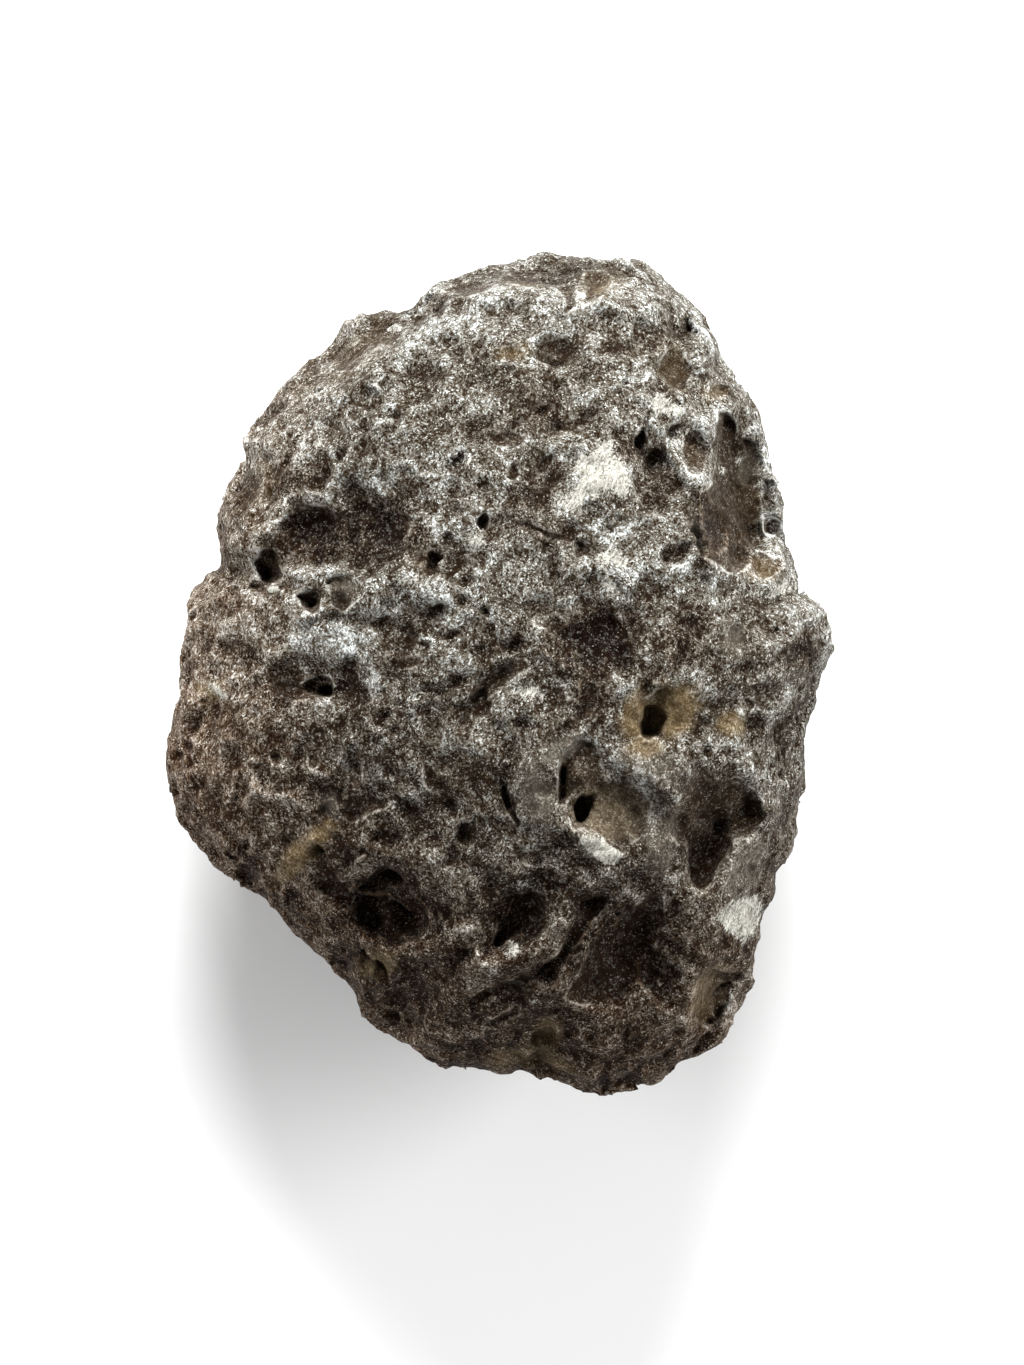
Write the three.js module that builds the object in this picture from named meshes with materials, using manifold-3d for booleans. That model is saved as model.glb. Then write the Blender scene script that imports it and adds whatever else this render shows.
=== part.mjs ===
// A tektite: a pebble of natural glass, thrown out molten and etched by the ground it lay in.
// It is one solid. It lies on its broad underside, +Z up, with its long way along Y.
// The origin is the middle of its footprint, on the surface that it rests on. Millimetres.

import * as THREE from 'three';
import { mergeVertices } from 'three/addons/utils/BufferGeometryUtils.js';
import Module from 'manifold-3d';

const wasm = await Module();
wasm.setup();

// ---------------------------------------------------------------- driving dimensions

const CROWN = 15.6; // from the girdle, the widest section, up to the top of the dome
const KEEL = 13.4; // from the girdle down to where the round underside would end
const REST_DEPTH = 13.2; // from the girdle down to the surface that the stone rests on
const CROWN_FULLNESS = 2.35; // 2 is an ellipse, more is boxier
const KEEL_FULLNESS = 2.45;
const SKIN_DETAIL = 16; // how finely the round of the stone is divided
const TOP_BIAS = 0.22; // crowds the division towards the top, where the relief is
const PIT_DETAIL = 1; // how finely each cut pit is divided

// The girdle seen from above, going clockwise from the top end: [x, y].
const OUTLINE = [
  [1.8, 26.7], [6.0, 26.7], [9.1, 26.1], [11.3, 24.2], [13.4, 22.4], [14.5, 19.6],
  [15.8, 18.0], [16.9, 15.0], [17.4, 13.2], [18.3, 10.6], [18.05, 8.7], [18.7, 6.6],
  [19.4, 5.1], [20.5, 4.3], [21.2, 2.6], [21.1, 1.2], [20.15, -1.7], [19.4, -4.8],
  [19.2, -8.0], [18.3, -11.8], [17.0, -14.9], [16.5, -17.5], [15.95, -20.3], [14.2, -23.5],
  [12.0, -25.0], [9.0, -26.5], [5.8, -26.9], [3.2, -26.05], [-0.8, -25.45], [-4.0, -25.1],
  [-6.3, -23.4], [-8.8, -21.9], [-10.0, -19.5], [-12.8, -17.0], [-15.0, -14.8], [-17.2, -13.2],
  [-18.9, -11.9], [-20.6, -9.0], [-21.4, -5.5], [-20.65, -1.5], [-20.4, 1.2], [-20.0, 4.6],
  [-18.6, 6.2], [-17.6, 7.4], [-18.3, 9.1], [-17.5, 12.0], [-16.2, 15.3], [-14.0, 18.2],
  [-11.2, 20.9], [-9.4, 22.6], [-5.6, 23.35], [-4.2, 24.7], [-1.8, 25.9],
];

// Broad hollows in the upper face: [x, y, half length, half width, depth, turn in degrees].
const HOLLOWS = [
  [-9.6, 9.4, 6.0, 3.9, 2.5, 12], // wide saddle on the left
  [-9.4, 21.1, 4.2, 2.0, 1.8, 38], // shelf on the left shoulder
  [1.8, 26.4, 7.0, 2.3, 2.2, 0], // shelf behind the top ridge
  [15.3, 11.2, 5.9, 2.7, 3.4, 100], // smooth flute down the right side
  [9.8, 12.6, 2.9, 2.4, 1.1, 80],
  [12.2, 14.3, 2.3, 1.4, 1.2, 95],
  [11.2, 19.7, 2.3, 1.8, 1.6, 100],
  [6.6, 2.4, 3.6, 3.4, 1.2, 0], // dip in the middle
  [-12.3, -1.0, 3.2, 1.6, 1.5, -5],
  [8.0, -8.8, 3.8, 3.1, 2.3, -10], // bowl beside the deep hole
  [14.9, -8.8, 3.0, 2.6, 1.9, 20], // upper floor of the right hollow
  [12.9, -11.7, 3.9, 2.5, 3.6, 72], // lower floor of the right hollow
  [8.2, -17.4, 5.0, 4.6, 3.8, 60], // basin at the lower end
  [13.9, -20.8, 3.0, 2.2, 2.0, 60],
  [-6.6, -14.9, 4.2, 3.2, 2.8, -15], // mouth of the double cavity
  [1.3, -15.9, 3.3, 2.4, 2.5, 60],
  [-5.0, -20.2, 3.8, 2.8, 1.2, 30],
  [4.3, 16.6, 4.4, 2.0, 1.0, 15],
  [2.4, 12.4, 3.2, 1.9, 1.0, 30],
  [3.4, 20.4, 2.6, 1.8, 1.2, 0],
  [-16.3, 12.2, 2.6, 2.2, 1.2, 60],
  [9.9, -2.8, 3.1, 2.8, 1.6, 80], // funnel around the round hole
  [-1.3, -1.2, 3.4, 1.4, 1.4, 50], // slanting valley in the middle
  [-19.0, -2.8, 2.2, 1.5, 1.0, 80],
  [16.4, 2.4, 2.6, 1.6, 1.0, 30],
  [3.9, -18.0, 2.8, 1.1, 1.8, 60], // groove between the two tongues
  [-4.6, -8.6, 2.6, 1.8, 0.8, 60],
  [-11.4, -6.6, 3.4, 2.4, 0.8, 30],
  [-9.4, -13.2, 3.0, 1.5, 1.1, 20],
];

// Raised folds in the upper face: [height, half width, [x, y], [x, y], ...].
const FOLDS = [
  [0.9, 1.0, [-1.0, 23.9], [1.2, 24.5], [3.5, 24.0], [5.4, 23.4], [7.4, 24.1], [9.4, 23.6]],
  [0.8, 1.0, [-10.8, 18.2], [-8.6, 19.8], [-6.3, 21.1], [-3.5, 22.4]],
  [0.9, 1.0, [-12.2, 3.4], [-9.0, 4.2], [-7.2, 5.2], [-5.6, 6.1], [-4.4, 5.2]],
  [0.8, 1.0, [-17.4, 7.4], [-15.6, 8.4], [-13.9, 9.9]],
  [0.8, 0.9, [13.2, 15.4], [12.6, 12.2], [12.7, 9.6], [13.0, 7.4], [14.3, 5.9]],
  [1.0, 1.1, [3.0, -5.0], [2.2, -7.5], [2.8, -10.0]], // slab left of the deep hole
  [1.1, 0.9, [5.0, -15.9], [3.3, -18.4], [1.0, -19.3], [-0.6, -19.4]], // upper tongue
  [1.1, 0.9, [8.6, -14.4], [6.6, -15.8], [4.7, -18.6], [2.4, -21.3]], // lower tongue
  [0.8, 1.0, [12.4, -5.4], [11.3, -7.6], [10.7, -9.6], [10.4, -12.4]],
  [0.7, 0.9, [4.9, -7.6], [6.4, -7.1], [8.9, -6.9]],
  [0.8, 0.9, [-9.6, -13.0], [-7.2, -12.2], [-4.8, -13.4]], // arch over the double cavity
  [0.9, 1.2, [14.6, -11.0], [14.2, -13.2], [13.0, -14.6]],
  [0.6, 1.1, [5.0, 14.6], [6.2, 12.6], [7.4, 11.0]],
];

// Pits with sharp rims in the upper face: [x, y, half length, half width, depth, turn].
const PITS = [
  [9.7, -2.7, 1.7, 1.0, 3.4, 82], // round hole in its pale funnel
  [5.4, -8.6, 1.35, 1.1, 3.6, 60], // deepest hole
  [4.3, -6.6, 1.1, 0.6, 1.6, 85],
  [-6.5, -15.5, 2.5, 1.5, 3.2, -8], // double cavity, main
  [-7.3, -13.2, 1.5, 0.8, 2.2, 8], // double cavity, upper
  [11.6, -9.8, 1.4, 0.8, 2.6, 75],
  [12.5, -12.7, 1.6, 1.1, 2.2, 70],
  [-12.1, 4.7, 1.2, 1.0, 2.2, 0],
  [-9.8, 5.2, 1.3, 1.1, 1.4, 60],
  [-15.0, 6.9, 2.0, 1.2, 1.7, 75],
  [-11.6, -1.1, 1.3, 0.8, 2.1, 0],
  [-1.2, 9.7, 0.65, 0.5, 1.4, 80],
  [11.2, 15.7, 0.9, 0.55, 1.5, 30],
  [3.5, 20.0, 1.3, 0.9, 1.4, 20],
  [-1.2, 20.8, 0.95, 0.75, 1.1, 90],
  [-7.3, 18.8, 0.8, 0.75, 1.0, 0],
  [-6.7, 16.2, 1.1, 0.6, 0.9, 80],
  [13.7, 9.0, 1.0, 0.8, 1.5, 40],
  [17.4, 9.6, 0.95, 0.8, 1.2, 90],
  [15.4, 2.3, 1.2, 0.8, 1.3, 90],
  [17.3, 2.9, 0.8, 0.65, 1.1, 90],
  [15.7, -2.1, 0.95, 0.65, 1.2, 90],
  [-2.2, -10.2, 1.0, 0.7, 1.6, 90],
  [-7.9, -18.8, 1.5, 0.85, 1.4, 10],
  [2.9, -23.3, 1.1, 0.8, 1.2, 60],
  [-5.9, -22.0, 0.9, 0.65, 1.0, 20],
  [9.7, -19.4, 1.4, 0.65, 1.4, 90],
  [12.0, -17.0, 1.1, 0.7, 1.1, 10],
  [0.3, -16.6, 1.7, 0.8, 1.7, 62],
  [8.1, -23.0, 0.9, 0.6, 0.9, 90],
  [1.5, 25.2, 1.3, 0.8, 1.2, 0],
  [6.3, 25.0, 1.4, 1.0, 1.2, 0],
  [11.0, 19.5, 1.5, 1.1, 1.2, 100],
  [-8.8, 7.1, 1.0, 0.8, 1.2, 30],
  [0.4, 17.4, 0.7, 0.5, 0.9, 90],
  [-4.3, 7.0, 1.0, 0.65, 1.0, 90],
];

// Dimples that time has etched around the sides and underneath, spread on a golden spiral.
const DIMPLES = 44;
const DIMPLE_SIZE = [1.9, 4.2]; // smallest and largest radius
const DIMPLE_TOP = -0.2; // sine of the angle below level where the highest of them lies
const DIMPLE_LOW = -0.88; // and the lowest
const DIMPLE_SINK = 0.22; // share of the width that is under the surface
const DIMPLE_LIP = 1.8; // how wide their rims are rounded

// Lumps underneath that the stone stands on: [x, y, radius, centre below the girdle].
const FEET = [
  [-8.6, -8.4, 6.0, 7.4],
  [8.2, -11.2, 6.2, 7.3],
  [-7.4, 11.6, 6.0, 7.4],
  [8.6, 8.8, 5.8, 7.7],
];
const FOOT_FLARE = 3.5; // how softly a foot grows out of the underside

const GOLDEN_ANGLE = Math.PI * (3 - Math.sqrt(5));
const GOLDEN_SHARE = 0.618034;

// ---------------------------------------------------------------- smooth pebble

const radians = THREE.MathUtils.degToRad;
const mix = THREE.MathUtils.lerp;

/** The closed outline as a list of { angle, radius }, sorted by angle. */
function traceOutline(points) {
  const corners = points.map(([x, y]) => new THREE.Vector3(x, y, 0));
  const curve = new THREE.CatmullRomCurve3(corners, true, 'catmullrom', 0.5);
  const rim = curve.getPoints(points.length * 12).slice(0, -1);
  return rim
    .map((p) => ({ angle: Math.atan2(p.y, p.x), radius: Math.hypot(p.x, p.y) }))
    .sort((a, b) => a.angle - b.angle);
}

const RIM = traceOutline(OUTLINE);

/** Distance from the middle to the girdle's edge, in the direction of an angle. */
function rimRadius(angle) {
  let low = 0;
  let high = RIM.length;
  while (low < high) {
    const middle = (low + high) >> 1;
    if (RIM[middle].angle < angle) low = middle + 1;
    else high = middle;
  }
  const before = RIM[(low + RIM.length - 1) % RIM.length];
  const after = RIM[low % RIM.length];
  const turn = 2 * Math.PI;
  const span = (after.angle - before.angle + turn) % turn;
  const step = (angle - before.angle + turn) % turn;
  return mix(before.radius, after.radius, span > 0 ? step / span : 0);
}

/** Height of the girdle: it isn't quite level. */
function girdle(x, y) {
  return 0.035 * x - 0.03 * y + 0.9 * Math.sin(0.11 * x + 0.5) * Math.cos(0.09 * y);
}

/** How far a point lies outside the smooth pebble, measured from the middle. */
function pebble(x, y, z) {
  const across = Math.hypot(x, y) / rimRadius(Math.atan2(y, x));
  const rise = z - girdle(x, y);
  const reach = rise > 0 ? CROWN : KEEL;
  const fullness = rise > 0 ? CROWN_FULLNESS : KEEL_FULLNESS;
  const sum = across ** fullness + (Math.abs(rise) / reach) ** fullness;
  const gauge = Math.max(sum ** (1 / fullness), 0.05);
  return Math.hypot(x, y, z) * (1 - 1 / gauge);
}

// ---------------------------------------------------------------- relief

/** 1 in the middle of an ellipse in plan, falling smoothly to 0 at its edge. */
function ellipseWeight(x, y, [cx, cy, a, b, , turn]) {
  const c = Math.cos(radians(turn));
  const s = Math.sin(radians(turn));
  const u = ((x - cx) * c + (y - cy) * s) / a;
  const v = ((y - cy) * c - (x - cx) * s) / b;
  return Math.max(0, 1 - u * u - v * v) ** 1.5;
}

/** Distance in plan from a point to a line of points. */
function distanceToLine(x, y, line) {
  let nearest = Infinity;
  for (let i = 1; i < line.length; i += 1) {
    const [ax, ay] = line[i - 1];
    const dx = line[i][0] - ax;
    const dy = line[i][1] - ay;
    const along = ((x - ax) * dx + (y - ay) * dy) / (dx * dx + dy * dy);
    const t = THREE.MathUtils.clamp(along, 0, 1);
    nearest = Math.min(nearest, Math.hypot(x - ax - t * dx, y - ay - t * dy));
  }
  return nearest;
}

/** How much of the upper face the hollows take away and the folds add. */
function topRelief(x, y) {
  let sunk = 0;
  for (const hollow of HOLLOWS) sunk += hollow[4] * ellipseWeight(x, y, hollow);
  for (const [height, width, ...line] of FOLDS) {
    sunk -= height * Math.exp(-((distanceToLine(x, y, line) / width) ** 2));
  }
  return sunk;
}

/** Slow swell of the sides and the underside. */
function swell(x, y, z) {
  const a = Math.sin(0.42 * x + 0.9) * Math.sin(0.37 * y + 2.1);
  const b = Math.sin(0.29 * y + 0.55 * z + 0.4) * Math.sin(0.31 * x - 0.4 * z);
  return 0.55 * a + 0.6 * b;
}

/** The point where a ray from the middle leaves a body given by its outside distance. */
function castOut(body, direction) {
  let inside = 2;
  let outside = 45;
  for (let i = 0; i < 32; i += 1) {
    const r = (inside + outside) / 2;
    if (body(direction.x * r, direction.y * r, direction.z * r) < 0) inside = r;
    else outside = r;
  }
  return direction.clone().multiplyScalar((inside + outside) / 2);
}

/** Centres and radii of the dimples around the sides and underneath. */
function spreadDimples() {
  const dimples = [];
  for (let i = 0; i < DIMPLES; i += 1) {
    const height = mix(DIMPLE_TOP, DIMPLE_LOW, (i + 0.5) / DIMPLES);
    const level = Math.sqrt(1 - height * height);
    const angle = i * GOLDEN_ANGLE;
    const direction = new THREE.Vector3(Math.cos(angle) * level, Math.sin(angle) * level, height);
    const share = (i * GOLDEN_SHARE) % 1;
    const radius = mix(DIMPLE_SIZE[0], DIMPLE_SIZE[1], share * share);
    const centre = castOut(pebble, direction);
    centre.addScaledVector(direction, radius * (1 - 2 * DIMPLE_SINK));
    dimples.push({ centre, radius });
  }
  return dimples;
}

const ROUND_DIMPLES = spreadDimples();

/** The larger of two distances, with the corner between them rounded over a width. */
function smoothMax(a, b, width) {
  const overlap = Math.max(width - Math.abs(a - b), 0) / width;
  return Math.max(a, b) + overlap * overlap * width * 0.25;
}

/** How far a point lies outside the stone, but for its sharp-rimmed pits. */
function stone(x, y, z) {
  const rise = z - girdle(x, y);
  let outside = pebble(x, y, z);
  outside += topRelief(x, y) * THREE.MathUtils.smoothstep(rise, -1.5, 2.5);
  outside -= swell(x, y, z) * THREE.MathUtils.smoothstep(-rise, 0.5, 5);
  for (const { centre, radius } of ROUND_DIMPLES) {
    const away = Math.hypot(x - centre.x, y - centre.y, z - centre.z);
    outside = smoothMax(outside, radius - away, DIMPLE_LIP);
  }
  for (const [cx, cy, radius, drop] of FEET) {
    const away = Math.hypot(x - cx, y - cy, z + drop);
    outside = -smoothMax(-outside, radius - away, FOOT_FLARE);
  }
  return outside;
}

// ---------------------------------------------------------------- solids

/** Makes a closed solid of a geometry. */
function toSolid(geometry) {
  const bare = geometry.clone();
  bare.deleteAttribute('normal');
  bare.deleteAttribute('uv');
  const merged = mergeVertices(bare, 1e-4);
  const mesh = new wasm.Mesh({
    numProp: 3,
    vertProperties: new Float32Array(merged.attributes.position.array),
    triVerts: new Uint32Array(merged.index.array),
  });
  return new wasm.Manifold(mesh);
}

/** Makes a geometry of a solid. */
function toGeometry(solid) {
  const mesh = solid.getMesh();
  const geometry = new THREE.BufferGeometry();
  geometry.setAttribute('position', new THREE.BufferAttribute(mesh.vertProperties, 3));
  geometry.setIndex(new THREE.BufferAttribute(mesh.triVerts, 1));
  return geometry;
}

/** The stone's skin: a ball whose points are pushed out to the surface. */
function makeSkin() {
  const ball = new THREE.IcosahedronGeometry(1, SKIN_DETAIL);
  const points = ball.attributes.position;
  for (let i = 0; i < points.count; i += 1) {
    const direction = new THREE.Vector3().fromBufferAttribute(points, i);
    direction.z += TOP_BIAS;
    const place = castOut(stone, direction.normalize());
    points.setXYZ(i, place.x, place.y, place.z);
  }
  return toSolid(ball);
}

/** The point of the upper face over a place in plan. */
function topPoint(x, y) {
  let inside = girdle(x, y);
  let outside = CROWN + 6;
  for (let i = 0; i < 32; i += 1) {
    const z = (inside + outside) / 2;
    if (stone(x, y, z) < 0) inside = z;
    else outside = z;
  }
  return new THREE.Vector3(x, y, (inside + outside) / 2);
}

/** The way the smooth pebble's surface faces at a point. */
function facing({ x, y, z }) {
  const h = 0.2;
  const slope = new THREE.Vector3(
    pebble(x + h, y, z) - pebble(x - h, y, z),
    pebble(x, y + h, z) - pebble(x, y - h, z),
    pebble(x, y, z + h) - pebble(x, y, z - h),
  );
  return slope.normalize();
}

/** An ellipsoid that cuts one pit, standing square to the surface around it. */
function pitCutter([x, y, a, b, depth, turn]) {
  const place = topPoint(x, y);
  const upright = new THREE.Vector3(0, 0, 1);
  const lean = new THREE.Quaternion().setFromUnitVectors(upright, facing(place));
  const spin = new THREE.Quaternion().setFromAxisAngle(upright, radians(turn));
  const cutter = new THREE.IcosahedronGeometry(1, PIT_DETAIL);
  const matrix = new THREE.Matrix4();
  matrix.compose(place, lean.multiply(spin), new THREE.Vector3(a, b, depth));
  return toSolid(cutter.applyMatrix4(matrix));
}

/** Everything above the surface that the stone rests on. */
function restingHalf() {
  const side = 120;
  const box = new THREE.BoxGeometry(side, side, side);
  return toSolid(box.translate(0, 0, side / 2 - REST_DEPTH));
}

// ---------------------------------------------------------------- the stone

function makeTektite() {
  let solid = makeSkin();
  for (const pit of PITS) solid = solid.subtract(pitCutter(pit));
  solid = solid.intersect(restingHalf());
  const geometry = toGeometry(solid);
  geometry.computeBoundingBox();
  const { min, max } = geometry.boundingBox;
  return geometry.translate(-(min.x + max.x) / 2, -(min.y + max.y) / 2, -min.z);
}

const frostedGlass = new THREE.MeshStandardMaterial({
  color: 0x3a3b3d,
  roughness: 0.55,
  metalness: 0,
  flatShading: true,
});

const tektite = new THREE.Mesh(makeTektite(), frostedGlass);
tektite.name = 'tektite';

const part = new THREE.Group();
part.name = 'tektite_stone';
part.add(tektite);

export default part;
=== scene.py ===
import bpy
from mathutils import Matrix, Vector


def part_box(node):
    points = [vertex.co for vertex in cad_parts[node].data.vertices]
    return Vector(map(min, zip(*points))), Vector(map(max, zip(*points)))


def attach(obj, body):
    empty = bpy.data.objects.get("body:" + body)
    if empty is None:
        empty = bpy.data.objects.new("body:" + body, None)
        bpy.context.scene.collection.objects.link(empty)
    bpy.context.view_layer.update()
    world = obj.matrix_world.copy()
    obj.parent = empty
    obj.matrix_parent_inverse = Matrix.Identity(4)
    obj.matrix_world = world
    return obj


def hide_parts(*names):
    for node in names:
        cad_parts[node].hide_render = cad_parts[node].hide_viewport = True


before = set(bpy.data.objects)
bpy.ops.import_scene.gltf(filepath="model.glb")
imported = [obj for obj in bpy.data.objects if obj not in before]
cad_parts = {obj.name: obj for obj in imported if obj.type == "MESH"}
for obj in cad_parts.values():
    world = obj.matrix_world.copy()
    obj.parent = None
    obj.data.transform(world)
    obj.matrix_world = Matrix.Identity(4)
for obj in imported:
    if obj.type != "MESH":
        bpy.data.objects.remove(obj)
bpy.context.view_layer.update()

# Tektite: a frosted, pitted pebble of dark natural glass, laid on its broad side.
# The stone's own tables are in millimetres, from the middle of its girdle: +X right, +Y to its
# top end, +Z up through the pitted face. Blender's objects are in metres, in the frame's place.

import math

import bpy
import numpy as np
import openvdb
from bpy.props import FloatProperty, FloatVectorProperty, PointerProperty

bl_info = {
    "name": "Tektite",
    "version": (1, 0, 0),
    "blender": (4, 5, 0),
    "location": "View3D > Sidebar > Tektite",
    "description": "Makes a pitted pebble of natural glass and the floor, light and camera for it",
    "category": "Add Mesh",
}

NODE = "tektite"
SLOT = "frosted_glass"
MM = 0.001
CAD_LOW, CAD_HIGH = (np.array(corner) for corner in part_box(NODE))

# ------------------------------------------------------------------ the stone's tables, mm

# The girdle seen from above, going clockwise from the top end: (x, y).
OUTLINE = (
    (1.8, 26.7), (6.0, 26.7), (9.1, 26.1), (11.3, 24.2), (13.4, 22.4), (14.5, 19.6),
    (15.8, 18.0), (16.9, 15.0), (17.4, 13.2), (18.3, 10.6), (18.05, 8.7), (18.7, 6.6),
    (19.4, 5.1), (20.5, 4.3), (21.2, 2.6), (21.1, 1.2), (20.15, -1.7), (19.4, -4.8),
    (19.2, -8.0), (18.3, -11.8), (17.0, -14.9), (16.5, -17.5), (15.95, -20.3), (14.2, -23.5),
    (12.0, -25.0), (9.0, -26.5), (5.8, -26.9), (3.2, -26.05), (-0.8, -25.45), (-4.0, -25.1),
    (-6.3, -23.4), (-8.8, -21.9), (-10.0, -19.5), (-12.8, -17.0), (-15.0, -14.8), (-17.2, -13.2),
    (-18.9, -11.9), (-20.6, -9.0), (-21.4, -5.5), (-20.65, -1.5), (-20.4, 1.2), (-20.0, 4.6),
    (-18.6, 6.2), (-17.6, 7.4), (-18.3, 9.1), (-17.5, 12.0), (-16.2, 15.3), (-14.0, 18.2),
    (-11.2, 20.9), (-9.4, 22.6), (-5.6, 23.35), (-4.2, 24.7), (-1.8, 25.9),
)

# Broad hollows in the upper face: x, y, half length, half width, depth, turn in degrees.
HOLLOWS = (
    (-9.6, 9.4, 6.0, 3.9, 2.5, 12),
    (-9.4, 21.1, 4.2, 2.0, 1.8, 38),
    (1.8, 26.4, 7.0, 2.3, 2.2, 0),
    (15.3, 11.2, 5.9, 2.7, 3.4, 100),
    (9.8, 12.6, 2.9, 2.4, 1.1, 80),
    (12.2, 14.3, 2.3, 1.4, 1.2, 95),
    (11.2, 19.7, 2.3, 1.8, 1.6, 100),
    (6.6, 2.4, 3.6, 3.4, 1.2, 0),
    (-12.3, -1.0, 3.2, 1.6, 1.5, -5),
    (8.0, -8.8, 3.8, 3.1, 2.3, -10),
    (14.9, -8.8, 3.0, 2.6, 1.9, 20),
    (12.9, -11.7, 3.9, 2.5, 3.6, 72),
    (8.2, -17.4, 5.0, 4.6, 3.8, 60),
    (13.9, -20.8, 3.0, 2.2, 2.0, 60),
    (-6.6, -14.9, 4.2, 3.2, 2.8, -15),
    (1.3, -15.9, 3.3, 2.4, 2.5, 60),
    (-5.0, -20.2, 3.8, 2.8, 1.2, 30),
    (4.3, 16.6, 4.4, 2.0, 1.0, 15),
    (2.4, 12.4, 3.2, 1.9, 1.0, 30),
    (3.4, 20.4, 2.6, 1.8, 1.2, 0),
    (-16.3, 12.2, 2.6, 2.2, 1.2, 60),
    (9.9, -2.8, 3.1, 2.8, 1.6, 80),
    (-1.3, -1.2, 3.4, 1.4, 1.4, 50),
    (-19.0, -2.8, 2.2, 1.5, 1.0, 80),
    (16.4, 2.4, 2.6, 1.6, 1.0, 30),
    (3.9, -18.0, 2.8, 1.1, 1.8, 60),
    (-4.6, -8.6, 2.6, 1.8, 0.8, 60),
    (-11.4, -6.6, 3.4, 2.4, 0.8, 30),
    (-9.4, -13.2, 3.0, 1.5, 1.1, 20),
)

# Raised folds in the upper face, or creases where the height is negative:
# height, half width, then the points that each follows.
FOLDS = (
    (0.9, 1.0, (-1.0, 23.9), (1.2, 24.5), (3.5, 24.0), (5.4, 23.4), (7.4, 24.1), (9.4, 23.6)),
    (0.8, 1.0, (-10.8, 18.2), (-8.6, 19.8), (-6.3, 21.1), (-3.5, 22.4)),
    (0.9, 1.0, (-12.2, 3.4), (-9.0, 4.2), (-7.2, 5.2), (-5.6, 6.1), (-4.4, 5.2)),
    (0.8, 1.0, (-17.4, 7.4), (-15.6, 8.4), (-13.9, 9.9)),
    (0.8, 0.9, (13.2, 15.4), (12.6, 12.2), (12.7, 9.6), (13.0, 7.4), (14.3, 5.9)),
    (1.0, 1.1, (3.0, -5.0), (2.2, -7.5), (2.8, -10.0)),
    (1.1, 0.9, (5.0, -15.9), (3.3, -18.4), (1.0, -19.3), (-0.6, -19.4)),
    (1.1, 0.9, (8.6, -14.4), (6.6, -15.8), (4.7, -18.6), (2.4, -21.3)),
    (0.8, 1.0, (12.4, -5.4), (11.3, -7.6), (10.7, -9.6), (10.4, -12.4)),
    (0.7, 0.9, (4.9, -7.6), (6.4, -7.1), (8.9, -6.9)),
    (0.8, 0.9, (-9.6, -13.0), (-7.2, -12.2), (-4.8, -13.4)),
    (0.9, 1.2, (14.6, -11.0), (14.2, -13.2), (13.0, -14.6)),
    (0.6, 1.1, (5.0, 14.6), (6.2, 12.6), (7.4, 11.0)),
)

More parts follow.
